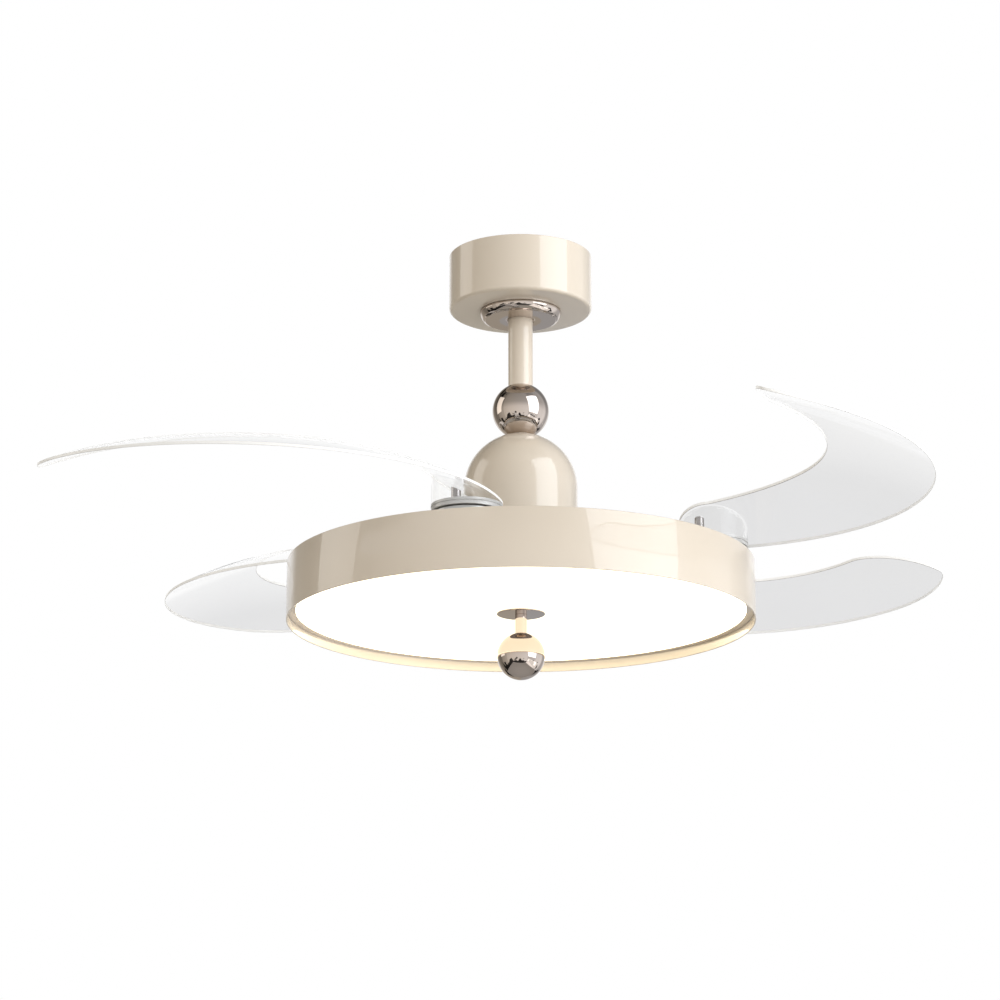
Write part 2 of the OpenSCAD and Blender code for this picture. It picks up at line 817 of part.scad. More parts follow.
module bearing_balls() color(CHROME) {
    from_rim() for (h = [lower_bearing_h, upper_bearing_h]) {
        around(balls) translate([outer_ring_r - ball_r, 0, h + bearing_w / 2]) sphere(r = ball_r, $fn = 24);
    }
}

// ------------------------------------------------------------ blade carrier

// Curved slot round a pivot, in which the stop lug of the hub travels
module stop_slot() {
    half = fold / 2 + asin((lug_r + stop_gap) / stop_r);
    far = 2 * stop_r;
    intersection() {
        difference() {
            circle(r = stop_r + lug_r + stop_gap);
            circle(r = stop_r - lug_r - stop_gap);
        }
        polygon([[0, 0], far * [cos(half), -sin(half)], [2 * far, 0], far * [cos(half), sin(half)]]);
    }
}

// Four-armed plate with a bush hole and a stop slot at each pivot
module rotor_plate() color(STEEL) {
    from_rim() translate([0, 0, plate_h]) linear_extrude(plate_t) difference() {
        union() {
            circle(r = plate_ring_r);
            for (k = [0 : blades - 1]) {
                at_arm(k) {
                    translate([motor_r, -arm_w / 2]) square([pivot_r - motor_r, arm_w]);
                    translate([pivot_r, 0]) circle(r = pad_r);
                }
            }
        }
        circle(r = motor_r + 2 * fit);
        around(motor_screws) translate([motor_screw_circle_r, 0]) circle(r = motor_screw_r + fit);
        for (k = [0 : blades - 1]) {
            at_arm(k) {
                translate([pivot_r, 0]) circle(r = bush_r + fit);
                translate([pivot_r, 0]) stop_slot();
                translate([guide_at_r, 0]) circle(r = guide_screw_r + fit);
            }
        }
    }
}

// Screws of the motor housing and of the ring guides
module rotor_screws() color(STEEL) {
    from_rim() {
        around(motor_screws) translate([motor_screw_circle_r, 0, plate_h - lower_flange_t])
            screw(motor_screw_r, lower_flange_t + plate_t + cover_t, 4.5, 3.5);
        for (k = [0 : blades - 1]) {
            at_arm(k) translate([guide_at_r, 0, cover_low_h + 1])
                screw(guide_screw_r, plate_top_h - cover_low_h - 1, 4, 2.5);
        }
    }
}

module pivot_bushes() color(BRONZE) {
    from_rim() for (k = [0 : blades - 1]) {
        at_arm(k) translate([pivot_r, 0, 0]) difference() {
            union() {
                translate([0, 0, bush_low_h]) cylinder(r = bush_r, h = plate_top_h - bush_low_h);
                translate([0, 0, plate_top_h]) cylinder(r = bush_flange_r, h = bush_flange_t);
            }
            translate([0, 0, bush_low_h - 1]) cylinder(r = spindle_r + running_gap, h = 12);
        }
    }
}

// Flat-wound springs round the spindles, inside the wells of the hubs
module return_springs() color(DARK) {
    low_h = plate_top_h + bush_flange_t;
    top_h = hub_h + spring_well_t - spring_gap;
    from_rim() for (k = [0 : blades - 1]) {
        at_arm(k) translate([pivot_r, 0, low_h])
            tube(spring_well_r - 2 * spring_gap, spindle_r + 1 + 2 * spring_gap, top_h - low_h);
    }
}

// Nylon rollers that hold the synchronising ring under the plate
module ring_guides() color(NYLON) {
    low_h = gear_h - 2.7;
    shoulder_h = gear_h + gear_t + 0.5;
    from_rim() for (k = [0 : blades - 1]) {
        at_arm(k) translate([guide_at_r, 0, 0]) difference() {
            union() {
                translate([0, 0, low_h]) cylinder(r = guide_flange_r, h = guide_flange_t);
                translate([0, 0, low_h]) cylinder(r = guide_r, h = plate_h - low_h);
                translate([0, 0, shoulder_h]) cylinder(r = guide_flange_r, h = plate_h - shoulder_h);
            }
            translate([0, 0, low_h - 1]) cylinder(r = guide_screw_r + fit, h = 20);
        }
    }
}

// ------------------------------------------------------------ gears

function involute_angle(a) = tan(a) * 180 / PI - a;
function flank_angle(teeth, r) = let (base = gear_module * teeth / 2 * cos(20))
    90 / teeth - backlash / (gear_module * teeth) * 90 / PI + involute_angle(20)
    - (r > base ? involute_angle(acos(base / r)) : 0);

// Outline of one tooth that points along +X
module tooth_outline(teeth) {
    pitch_r = gear_module * teeth / 2;
    low_r = pitch_r - 1.25 * gear_module;
    steps = 4;
    radii = [for (i = [0 : steps]) low_r + i / steps * 2.2 * gear_module];
    right = [for (r = radii) r * [cos(flank_angle(teeth, r)), -sin(flank_angle(teeth, r))]];
    left = [for (i = [steps : -1 : 0]) let (r = radii[i])
        r * [cos(flank_angle(teeth, r)), sin(flank_angle(teeth, r))]];
    polygon(concat([[low_r - 1.5, right[0][1]]], right, left, [[low_r - 1.5, left[steps][1]]]));
}

// Ring with four toothed sectors, one for each blade gear
module sync_ring() color(NYLON) {
    pitch_r = gear_module * ring_teeth / 2;
    from_rim() translate([0, 0, gear_h]) difference() {
        linear_extrude(gear_t) {
            circle(r = pitch_r - 1.25 * gear_module, $fn = 180);
            for (k = [0 : blades - 1], i = [-9 : 2]) {
                rotate(first_pivot + k * 360 / blades + (i + 0.5) * 360 / ring_teeth)
                    tooth_outline(ring_teeth);
            }
        }
        translate([0, 0, -1]) cylinder(r = ring_bore_r, h = gear_t + 2, $fn = 180);
    }
}

// Gear on the foot of a spindle, toothed only where it meets the ring
module blade_gear(k) color(NYLON) {
    from_rim() translate([0, 0, gear_h]) at_arm(k) translate([pivot_r, 0, 0]) difference() {
        linear_extrude(gear_t) {
            circle(r = gear_module * (gear_teeth / 2 - 1.25));
            for (i = [-2 : 8]) {
                rotate(180 + i * 360 / gear_teeth) tooth_outline(gear_teeth);
            }
        }
        translate([0, 0, -1]) cylinder(r = spindle_r + fit, h = gear_t + 2);
        around(4, 45) translate([gear_hole_at, 0, -1]) cylinder(r = gear_hole_r, h = gear_t + 2);
    }
}

// ------------------------------------------------------------ blades

// Space under the sloping skin of the folded blade's root, lowered by gap
module under_root(gap) {
    inside_r = pivot_r - root_r - 5;
    outside_r = reach_r + 5;
    rotate([0, 0, -20]) rotate_extrude(angle = 40) polygon([
        [inside_r, hub_top_h - 2], [outside_r, hub_top_h - 2],
        [outside_r, blade_h - gap - root_slope * (outside_r - reach_r)],
        [inside_r, blade_h - gap + root_slope * (reach_r - inside_r)]
    ]);
}

// Grey disc under the blade's root, with spindle, stop lug and the column that backs the clear root
module blade_hub(k) color(ZINC) {
    from_rim() opened(k) {
        difference() {
            union() {
                translate([0, 0, hub_h]) cylinder(r = root_r, h = hub_top_h - hub_h);
                translate([0, 0, gear_h]) cylinder(r = spindle_r, h = hub_h - gear_h + 1);
                translate([0, 0, hub_h + 1]) cylinder(r = spindle_r + 1, h = spring_well_t);
                translate([0, 0, nut_low_h - 1]) cylinder(r = stud_r, h = gear_h - nut_low_h + 2);
                rotate(lug_at - fold) translate([stop_r, 0, plate_h + 0.6])
                    cylinder(r = lug_r, h = hub_h - plate_h);
            }
            translate([0, 0, hub_h - 1]) tube(spring_well_r, spindle_r + 1, spring_well_t + 1);
            for (a = blade_screw_at) {
                rotate(a) translate([blade_screw_circle_r, 0, hub_h - 1]) {
                    cylinder(r = blade_screw_r + fit, h = 20);
                    cylinder(r = blade_screw_head_r + 0.2, h = blade_screw_head_h + 1);
                }
            }
        }
        translate([-pivot_r, 0, 0]) intersection() {
            translate([pivot_r, 0, hub_top_h - 1]) rotate(column_at) translate([column_circle_r, 0, 0])
                cylinder(r = column_r, h = 30);
            under_root(0.2);
        }
    }
}

// Nut on the spindle's foot and the screws that hold the clear root
module blade_fixings(k) color(STEEL) {
    from_rim() opened(k) {
        translate([0, 0, nut_low_h]) difference() {
            cylinder(r = small_nut_r, h = nut_t, $fn = 6);
            translate([0, 0, -1]) cylinder(r = stud_r + fit, h = nut_t + 2);
        }
        for (a = blade_screw_at) {
            rotate(a) translate([blade_screw_circle_r, 0, hub_h]) {
                cylinder(r = blade_screw_r, h = hub_top_h - hub_h + blade_screw_in);
                cylinder(r = blade_screw_head_r, h = blade_screw_head_h);
            }
        }
    }
}

// Height of the blade's lower skin at an angle from the pivot and a distance from the axis
function skin_h(phi, r) = let (
        f = max(phi, 0) / sweep,
        s = (reach_r - r) / (reach_r - waist_r))
    blade_h + tip_rise * pow(f, rise_power) + (root_slope + (tip_slope - root_slope) * f) * (reach_r - r)
    + 4 * camber * s * (1 - s) * min(4 * f, 1);

// Quarter of an ellipse that rounds a corner from 0 to 1
function corner(phi, start) = let (e = min(max((phi - start) / (sweep - start), 0), 1)) 1 - sqrt(1 - e * e);

function waist(phi) = waist_r + (pivot_r - root_r - waist_r) * pow((phi - waist_at) / waist_at, 2);
function outer_edge(phi) = reach_r + (tip_r - reach_r) * corner(phi, outer_corner_at);
function inner_edge(phi) = waist(phi) + (tip_r - waist(phi)) * corner(phi, inner_corner_at);
function root_chord(phi) = sqrt(max(root_r * root_r - pow(pivot_r * sin(phi), 2), 4));

// Angle, outer radius and inner radius at each station, round the root and then out to the tip
stations = concat(
    [for (i = [0 : root_steps - 1]) let (
            phi = -asin(root_r / pivot_r) * sin(90 * (1 - i / root_steps)),
            middle = pivot_r * cos(phi),
            chord = root_chord(phi))
        [phi, middle + chord, middle - chord]],
    [for (i = [0 : span_steps]) let (phi = (sweep - tip_stop) * (1 - pow(1 - i / span_steps, 1.5)))
        [phi, outer_edge(phi), inner_edge(phi)]]
);

function skin_point(st, j, lift) = let (r = st[1] + (st[2] - st[1]) * j / chord_steps)
    [r * cos(st[0]), -r * sin(st[0]), skin_h(st[0], r) + lift];

// Curved plate of the folded blade: lower points first, then upper points
module blade_plate() {
    rows = len(stations);
    w = chord_steps + 1;
    top = rows * w;
    pts = concat(
        [for (st = stations, j = [0 : chord_steps]) skin_point(st, j, 0)],
        [for (st = stations, j = [0 : chord_steps]) skin_point(st, j, blade_t)]);
    lower = [for (i = [0 : rows - 2], j = [0 : chord_steps - 1], t = [0, 1]) let (a = i * w + j)
        t == 0 ? [a, a + 1, a + w + 1] : [a, a + w + 1, a + w]];
    upper = [for (f = lower) [f[2] + top, f[1] + top, f[0] + top]];
    outer = [for (i = [0 : rows - 2]) let (a = i * w) [a, a + w, a + w + top, a + top]];
    inner = [for (i = [0 : rows - 2]) let (a = i * w + chord_steps) [a, a + top, a + w + top, a + w]];
    foot = [for (j = [0 : chord_steps - 1]) [j, j + top, j + 1 + top, j + 1]];
    last = (rows - 1) * w;
    tip = [for (j = [0 : chord_steps - 1]) [last + j, last + j + 1, last + j + 1 + top, last + j + top]];
    polyhedron(points = pts, faces = concat(lower, upper, outer, inner, foot, tip), convexity = 6);
}

// Clear wall and screw bosses under the plate, whose tops end inside the plate
module blade_root() {
    intersection() {
        translate([pivot_r, 0, hub_top_h]) union() {
            tube(root_r - wall_inset, root_r - wall_inset - root_wall, 60);
            for (a = blade_screw_at) {
                rotate(a) translate([blade_screw_circle_r, 0, 0])
                    tube(boss_r, blade_screw_r + fit, boss_h);
            }
        }
        under_root(-1.2);
    }
}

module blade(k) color(CLEAR) {
    from_rim() opened(k) translate([-pivot_r, 0, 0]) {
        blade_plate();
        blade_root();
    }
}

// ------------------------------------------------------------ nodes

ceiling_bar();
rubber_pad();
downrod();
hanger_bolts();
canopy();
canopy_collar();
set_screws();
receiver_box();
terminal_block();
wire_loom();
upper_ball();
dome_cover();
dome_bracket();
small_screws();
coupling();
motor_shaft();
lock_nuts();
stator_core();
motor_windings();
bearing_inner_rings();
lamp_chassis();
drum_shell();
diffuser_ring();
diffuser();
led_board();
led_chips();
led_driver();
finial_bridge();
finial_rod();
finial_rose();
finial_stem();
finial_ball();
motor_lower_cover();
motor_upper_cover();
motor_magnets();
bearing_outer_rings();
bearing_balls();
rotor_plate();
rotor_screws();
pivot_bushes();
return_springs();
ring_guides();
sync_ring();
for (k = [1 : blades]) {
    blade(k - 1);
    blade_hub(k - 1);
    blade_gear(k - 1);
    blade_fixings(k - 1);
}
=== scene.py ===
from contextlib import contextmanager
import json
import math
import bmesh
import bpy
from mathutils import Matrix, Vector
from mathutils.geometry import delaunay_2d_cdt


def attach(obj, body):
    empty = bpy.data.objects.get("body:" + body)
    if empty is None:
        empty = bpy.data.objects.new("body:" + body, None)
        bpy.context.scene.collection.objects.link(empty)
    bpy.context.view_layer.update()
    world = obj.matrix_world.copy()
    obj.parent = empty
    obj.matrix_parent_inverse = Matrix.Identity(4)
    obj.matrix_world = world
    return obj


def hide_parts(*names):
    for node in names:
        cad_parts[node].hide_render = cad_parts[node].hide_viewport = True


# Looks of the ceiling fan. Metres, +Z up, the ceiling is at z = 0 and -Y faces the camera.
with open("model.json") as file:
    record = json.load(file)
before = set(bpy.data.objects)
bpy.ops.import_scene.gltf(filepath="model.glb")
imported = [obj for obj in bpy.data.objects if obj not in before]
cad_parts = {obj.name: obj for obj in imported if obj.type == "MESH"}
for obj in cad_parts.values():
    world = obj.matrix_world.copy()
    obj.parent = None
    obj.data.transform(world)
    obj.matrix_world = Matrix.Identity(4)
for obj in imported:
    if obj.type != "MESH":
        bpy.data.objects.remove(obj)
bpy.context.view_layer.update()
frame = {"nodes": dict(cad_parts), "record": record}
scene = bpy.context.scene

DROP = 0.4115          # from the ceiling down to the drum's lower rim
CEILING = 1000 * DROP  # height of the ceiling above that rim, mm
PIVOT_R = 0.210        # distance of the blade pivots from the axis
FIRST_PIVOT = -15.0    # bearing of the first pivot, degrees
FOLD = 94.0            # angle through which a blade folds, degrees
CORE = 0.01            # least radius of a profile that closes on its axis, mm
ON_SHAFT = 10.05       # bore of what sits on the motor shaft, mm
ON_ROD = 4.05          # bore of what sits on the finial rod, mm


# ---------------- mesh helpers

def up(h_mm):
    """Height in metres, with the ceiling at 0, of a point h_mm above the drum's lower rim."""
    return h_mm / 1000.0 - DROP


def new_object(name, data):
    ob = bpy.data.objects.new(name, data)
    scene.collection.objects.link(ob)
    return ob


def add_mesh(name, verts, faces, smooth=True):
    mesh = bpy.data.meshes.new(name)
    mesh.from_pydata([tuple(v) for v in verts], [], faces)
    mesh.validate()
    ob = new_object(name, mesh)
    if smooth:
        mesh.shade_smooth()
    return ob


@contextmanager
def edited(ob):
    """The piece's mesh, opened for edits and written back."""
    bm = bmesh.new()
    bm.from_mesh(ob.data)
    yield bm
    bm.to_mesh(ob.data)
    bm.free()


def tidy_normals(ob):
    """Merges doubled points and turns all faces outwards."""
    with edited(ob) as bm:
        bmesh.ops.remove_doubles(bm, verts=bm.verts, dist=1e-6)
        bmesh.ops.recalc_face_normals(bm, faces=bm.faces)


def sharp_edges(bm, degrees):
    limit = math.radians(degrees)
    return [edge for edge in bm.edges if len(edge.link_faces) == 2 and edge.calc_face_angle(0.0) > limit]


def sharpen(ob, degrees=35.0):
    """Splits the shading at edges sharper than the angle."""
    with edited(ob) as bm:
        for edge in sharp_edges(bm, degrees):
            edge.smooth = False


def lathe(name, profile, count=192, centre=(0, 0)):
    """Closed profile of (radius, height) in mm above the drum's rim, turned about the axis at centre."""
    verts, faces = [], []
    rows = len(profile)
    cx, cy = centre
    for i in range(count):
        a = math.tau * i / count
        for r, h in profile:
            verts.append((cx + r / 1000 * math.cos(a), cy + r / 1000 * math.sin(a), up(h)))
    for i in range(count):
        n = (i + 1) % count
        for j in range(rows):
            k = (j + 1) % rows
            faces.append((i * rows + j, n * rows + j, n * rows + k, i * rows + k))
    ob = add_mesh(name, verts, faces)
    tidy_normals(ob)
    with edited(ob) as bm:
        bmesh.ops.dissolve_degenerate(bm, dist=1e-7, edges=bm.edges)
    sharpen(ob)
    return ob


def polar(r, degrees):
    return r * math.cos(math.radians(degrees)), r * math.sin(math.radians(degrees))


def arc(cr, ch, r, a0, a1, steps):
    """Points of an arc about (cr, ch), for a lathe profile."""
    points = [polar(r, a0 + (a1 - a0) * i / steps) for i in range(steps + 1)]
    return [(cr + x, ch + y) for x, y in points]


def soften(ob, width, steps=2):
    """Rounds the sharp edges of a solid by width, in metres."""
    with edited(ob) as bm:
        bmesh.ops.remove_doubles(bm, verts=bm.verts, dist=2e-6)
        bmesh.ops.dissolve_limit(bm, angle_limit=math.radians(1.0), verts=bm.verts, edges=bm.edges)
        bmesh.ops.bevel(bm, geom=sharp_edges(bm, 30), offset=width, offset_type="OFFSET",
                        segments=steps, profile=0.5, affect="EDGES", clamp_overlap=False)
        for face in bm.faces:
            face.smooth = True
    settle_normals(ob)
    return ob


def settle_normals(ob):
    """Keeps flat faces flat beside their rounded edges."""
    bpy.context.view_layer.objects.active = ob
    mod = ob.modifiers.new("normals", "WEIGHTED_NORMAL")
    bpy.ops.object.modifier_apply(modifier=mod.name)


def block(name, low, high, width, steps=3):
    """Block with rounded edges between two corners, in mm, heights measured above the rim."""
    ob = add_mesh(name, [], [])
    with edited(ob) as bm:
        bmesh.ops.create_cube(bm, size=1.0)
        for v in bm.verts:
            x, y, h = (low[i] + (high[i] - low[i]) * (v.co[i] + 0.5) for i in range(3))
            v.co = (x / 1000, y / 1000, up(h))
    return soften(ob, width, steps)


def move(x, y, z):
    return Matrix.Translation((x, y, z))


def turn(degrees, axis="Z"):
    return Matrix.Rotation(math.radians(degrees), 4, axis)


def shift(ob, x=0.0, z=DROP):
    """Moves a mesh in metres; by default from the rim's height to its own origin."""
    ob.data.transform(move(x, 0, z))
    return ob


def turned(name, profile, count=48):
    """Lathe piece about its own origin, heights in mm above that origin."""
    return shift(lathe(name, profile, count))


def copied(base, name, place=Matrix.Identity(4)):
    """Copy of a piece with a mesh of its own, set at a place."""
    ob = new_object(name, base.data.copy())
    ob.data.transform(place)
    return ob


def combine(ob, other, kind):
    """Joins, cuts or crosses two closed solids and keeps the first."""
    bpy.context.view_layer.objects.active = ob
    mod = ob.modifiers.new("solid", "BOOLEAN")
    mod.operation = kind
    mod.solver = "EXACT"
    mod.object = other
    bpy.ops.object.modifier_apply(modifier=mod.name)
    bpy.data.objects.remove(other)
    return ob


def repeat(name, base, places):
    """One object from a piece set at every place; the piece itself goes."""
    ob = add_mesh(name, [], [])
    with edited(ob) as bm:
        for place in places:
            part = base.data.copy()
            part.transform(place)
            bm.from_mesh(part)
            bpy.data.meshes.remove(part)
    bpy.data.objects.remove(base)
    return ob


def ring_of(count, radius, height, first=0.0):
    """Places round the axis, radius and height in mm."""
    return [turn(first + 360 * i / count) @ move(radius / 1000, 0, up(height)) for i in range(count)]


def tube_mesh(name, path, radius, sides=8):
    """Round wire along a list of points in metres."""
    verts, faces = [], []
    n = len(path)
    side = None
    for i in range(n):
        along = (Vector(path[min(i + 1, n - 1)]) - Vector(path[max(i - 1, 0)])).normalized()
        side = side or along.orthogonal()
        side = (side - along * side.dot(along)).normalized()
        other = along.cross(side)
        for k in range(sides):
            a = math.tau * k / sides
            verts.append(Vector(path[i]) + radius * (math.cos(a) * side + math.sin(a) * other))
    for i in range(n - 1):
        for k in range(sides):
            j, m = i + 1, (k + 1) % sides
            faces.append((i * sides + k, i * sides + m, j * sides + m, j * sides + k))
    faces += [list(reversed(range(sides))), list(range((n - 1) * sides, n * sides))]
    return add_mesh(name, verts, faces)


def thread(r, low, high, pitch):
    """Profile points of a screw thread, from low to high."""
    turns = max(int((high - low) / pitch), 1)
    step = (high - low) / turns
    points = []
    for i in range(turns):
        points += [(r * 0.88, low + step * i), (r, low + step * (i + 0.5))]
    return points + [(r * 0.88, high)]


def cross_screw(name, r, length, head_r, head_h):
    """Round-headed screw along +Z, with a thread and a cross in its head."""
    brim = length + head_h * 0.35
    crown = [(head_r * x, brim + y * head_h * 0.65) for x, y in arc(0, 0, 1.0, 0, 90, 6)]
    ob = turned(name, [(CORE, 0)] + thread(r, 0.2, length - 0.2, r * 0.5)
                + [(r, length), (head_r, length)] + crown[:-1] + [(CORE, length + head_h)], 32)
    for degrees in (0, 90):
        arm = shift(block("arm", (-head_r * 0.55, -head_r * 0.11, length + head_h * 0.55),
                          (head_r * 0.55, head_r * 0.11, length + head_h * 1.2), 0.00003, 1))
        arm.data.transform(turn(degrees))
        combine(ob, arm, "DIFFERENCE")
    sharpen(ob, 30)
    return ob


def hexagon(name, r, low, high, bore=CORE):
    """Six-sided head or nut about its own origin, with chamfered corners and a bore."""
    verts = [(*polar(r / 1000, 60 * i), h / 1000) for h in (low, high) for i in range(6)]
    faces = [(5, 4, 3, 2, 1, 0), (6, 7, 8, 9, 10, 11)]
    faces += [(i, (i + 1) % 6, 6 + (i + 1) % 6, 6 + i) for i in range(6)]
    ob = add_mesh(name, verts, faces, False)
    slope = 0.12 * r
    barrel = turned("barrel", [(bore, low - 0.01), (bore, high + 0.01), (0.88 * r, high + 0.01),
                               (1.01 * r, high - slope), (1.01 * r, low + slope), (0.88 * r, low - 0.01)])
    combine(ob, barrel, "INTERSECT")
    sharpen(ob, 20)
    return ob


# ---------------- materials

def connect(node, inputs):
    """Sets inputs of a node, by name or number, to plain values or to the sockets that feed them."""
    for key, value in inputs.items():
        if isinstance(value, bpy.types.NodeSocket):
            node.id_data.links.new(value, node.inputs[key])
        else:
            node.inputs[key].default_value = value


def add_node(tree, kind, inputs=None, **settings):
    """New node with its settings made and its inputs connected."""
    node = tree.nodes.new("ShaderNode" + kind)
    for name, value in settings.items():
        setattr(node, name, value)
    connect(node, inputs or {})
    return node


def nodes_of(name):
    """New material with its shader and the coordinates of the piece."""
    mat = bpy.data.materials.new(name)
    mat.use_nodes = True
    tree = mat.node_tree
    tree.nodes.clear()
    shader = add_node(tree, "BsdfPrincipled")
    add_node(tree, "OutputMaterial", {0: shader.outputs[0]})
    return mat, shader, add_node(tree, "TexCoord").outputs["Object"]


def noise(vector, scale, detail=2.0, stretch=None):
    """Cloudy value between 0 and 1."""
    if stretch:
        vector = add_node(vector.id_data, "Mapping", {"Vector": vector, "Scale": stretch}).outputs[0]
    inputs = {"Vector": vector, "Scale": scale, "Detail": detail}
    return add_node(vector.id_data, "TexNoise", inputs).outputs["Fac"]


def ramp(value, stops):
    """Colour ramp from (position, colour or grey) stops."""
    node = add_node(value.id_data, "ValToRGB", {0: value})
    elements = node.color_ramp.elements
    while len(elements) < len(stops):
        elements.new(0.5)
    for element, (at, color) in zip(elements, stops):
        element.position = at
        element.color = (color, color, color, 1) if isinstance(color, (int, float)) else (*color, 1)
    return node.outputs[0]


def mottle(value, low, high):
    """Colour or level that goes from low to high over most of a cloudy value."""
    return ramp(value, [(0.15, low), (0.85, high)])


def bump(height, strength, distance):
    """Fine relief for a shader's normal."""
    inputs = {"Height": height, "Strength": strength, "Distance": distance}
    return add_node(height.id_data, "Bump", inputs).outputs[0]


def number(kind, *values):
    """Result of a calculation on sockets and plain numbers."""
    tree = next(value.id_data for value in values if isinstance(value, bpy.types.NodeSocket))
    return add_node(tree, "Math", dict(enumerate(values)), operation=kind).outputs[0]


def shade(color, k):
    """Colour made lighter or darker by k."""
    return tuple(min(v * k, 1) for v in color)


def plain(name, color, rough, metal=0.0, vary=0.06, scale=40.0, grain=0.1, grain_scale=900.0,
          coat=0.0, coat_ior=1.5, stretch=None, rough_vary=0.15, distance=0.0002):
    """Opaque finish with a slight mottle in its colour and gloss, and a fine grain in relief."""
    mat, shader, obj = nodes_of(name)
    spots = noise(obj, scale, 3.0, stretch)
    connect(shader, {
        "Base Color": mottle(spots, shade(color, 1 - vary), shade(color, 1 + vary)),
        "Roughness": mottle(spots, rough * (1 - rough_vary), rough * (1 + rough_vary)),
        "Metallic": metal, "Coat Weight": coat, "Coat Roughness": 0.012, "Coat IOR": coat_ior,
        "Normal": bump(noise(obj, grain_scale, 2.0, stretch), grain, distance)})
    return mat


def away(obj, reach, near, far):
    """Value that goes from near to far between two distances from the axis."""
    flat = add_node(obj.id_data, "VectorMath", {0: obj, 1: (1, 1, 0)}, operation="MULTIPLY")
    length = add_node(obj.id_data, "VectorMath", {0: flat.outputs[0]}, operation="LENGTH")
    return add_node(obj.id_data, "MapRange", {
        "Value": length.outputs["Value"], "From Min": reach[0], "From Max": reach[1],
        "To Min": near, "To Max": far}).outputs[0]


def glow(name, color, strength, base, rim_strength, rim=(0.205, 0.236)):
    """Lit sheet whose glow rises from strength to rim_strength between two distances from the axis."""
    mat, shader, obj = nodes_of(name)
    connect(shader, {
        "Base Color": mottle(noise(obj, 25.0), shade(base, 0.98), base),
        "Roughness": 0.45, "Emission Color": (*color, 1),
        "Emission Strength": away(obj, rim, strength, rim_strength),
        "Normal": bump(noise(obj, 700.0), 0.05, 0.0002)})
    return mat


def clear(name, color, rough, ior):
    """Clear plastic whose tint gives way to white where it is seen along its surface: a painted reflection
    of the bright backdrop at grazing angles.
    """
    mat, shader, obj = nodes_of(name)
    haze = noise(obj, 9.0)
    # Painted reflection: towards grazing angles the colour is mixed to white, in place of the backdrop's
    # mirror image.
    facing = add_node(mat.node_tree, "LayerWeight").outputs["Facing"]
    tint_and_painted_glare = add_node(mat.node_tree, "Mix", {
        "Factor": ramp(facing, [(0.58, 0.0), (0.86, 1.0)]), "A": mottle(haze, shade(color, 0.985), color),
        "B": (1, 1, 1, 1)}, data_type="RGBA")
    connect(shader, {
        "Base Color": tint_and_painted_glare.outputs["Result"], "Roughness": mottle(haze, rough * 0.7, rough * 1.3),
        "Transmission Weight": 1.0, "IOR": ior, "Coat Weight": 0.3, "Coat Roughness": 0.02})
    return mat


def rim(name, color, painted_glow, vary=0.02):
    """Opaque edge of a clear sheet, with a painted glow standing in for the light that runs in the sheet."""
    mat = plain(name, color, 0.3, vary=vary, scale=11, grain=0.05)
    connect(mat.node_tree.nodes["Principled BSDF"], {
        "Emission Color": (1.0, 0.99, 0.97, 1), "Emission Strength": painted_glow})
    return mat


# Finish of each material slot
LOOKS = {
    "cream_paint": plain("cream_paint", (0.75, 0.645, 0.515), 0.30, vary=0.012, scale=9, grain=0.03,
                         grain_scale=420, coat=1.0, coat_ior=1.58, rough_vary=0.05),
    "chrome": plain("warm_chrome", (0.565, 0.492, 0.44), 0.02, metal=1.0, vary=0.015, scale=20,
                    grain=0.01, grain_scale=150, rough_vary=0.3),
    "steel": plain("zinc_steel", (0.50, 0.50, 0.49), 0.33, metal=1.0, vary=0.08, scale=60, grain=0.25),
    "lamination": plain("lamination", (0.30, 0.31, 0.34), 0.45, metal=1.0, vary=0.25, scale=60,
                        grain=0.6, grain_scale=60, stretch=(0.05, 0.05, 30)),
    "bearing_steel": plain("bearing_steel", (0.62, 0.62, 0.63), 0.12, metal=1.0, vary=0.03, grain=0.05),
    "magnet": plain("magnet", (0.10, 0.10, 0.11), 0.5, metal=0.4, vary=0.2, grain=0.4),
    "copper": plain("copper_wire", (0.62, 0.26, 0.12), 0.3, metal=1.0, vary=0.15, grain=0.8,
                    grain_scale=60, stretch=(1, 1, 22), distance=0.0006),
    "casting": plain("die_casting", (0.46, 0.47, 0.48), 0.48, metal=1.0, vary=0.1, scale=90,
                     grain=0.5, grain_scale=600),
    "white_sheet": plain("white_sheet", (0.80, 0.80, 0.78), 0.4, vary=0.02, grain=0.2),
    "board": plain("white_board", (0.78, 0.79, 0.78), 0.35, vary=0.03, scale=200, grain=0.15),
    "phosphor": plain("phosphor", (0.85, 0.66, 0.20), 0.35, vary=0.05, scale=300),
    "white_plastic": plain("white_plastic", (0.78, 0.78, 0.75), 0.42, vary=0.03, grain=0.4),
    "nylon": plain("nylon", (0.74, 0.72, 0.65), 0.42, vary=0.05, grain=0.3),
    "bronze": plain("sintered_bronze", (0.48, 0.32, 0.15), 0.42, metal=1.0, vary=0.2, scale=250, grain=0.6),
    "spring_steel": plain("spring_steel", (0.10, 0.10, 0.13), 0.3, metal=1.0, vary=0.3, grain=0.3),
    "rubber": plain("rubber", (0.03, 0.03, 0.032), 0.7, vary=0.2, grain=0.6),
    "cable": plain("cable_sleeve", (0.03, 0.03, 0.033), 0.55, vary=0.2, grain=0.7, grain_scale=500),
    "opal": glow("opal_light", (1.0, 0.90, 0.67), 1.6, (0.40, 0.40, 0.40), 3.6),
    "clear": clear("clear_blade", (0.79, 0.79, 0.795), 0.03, 1.008),
}
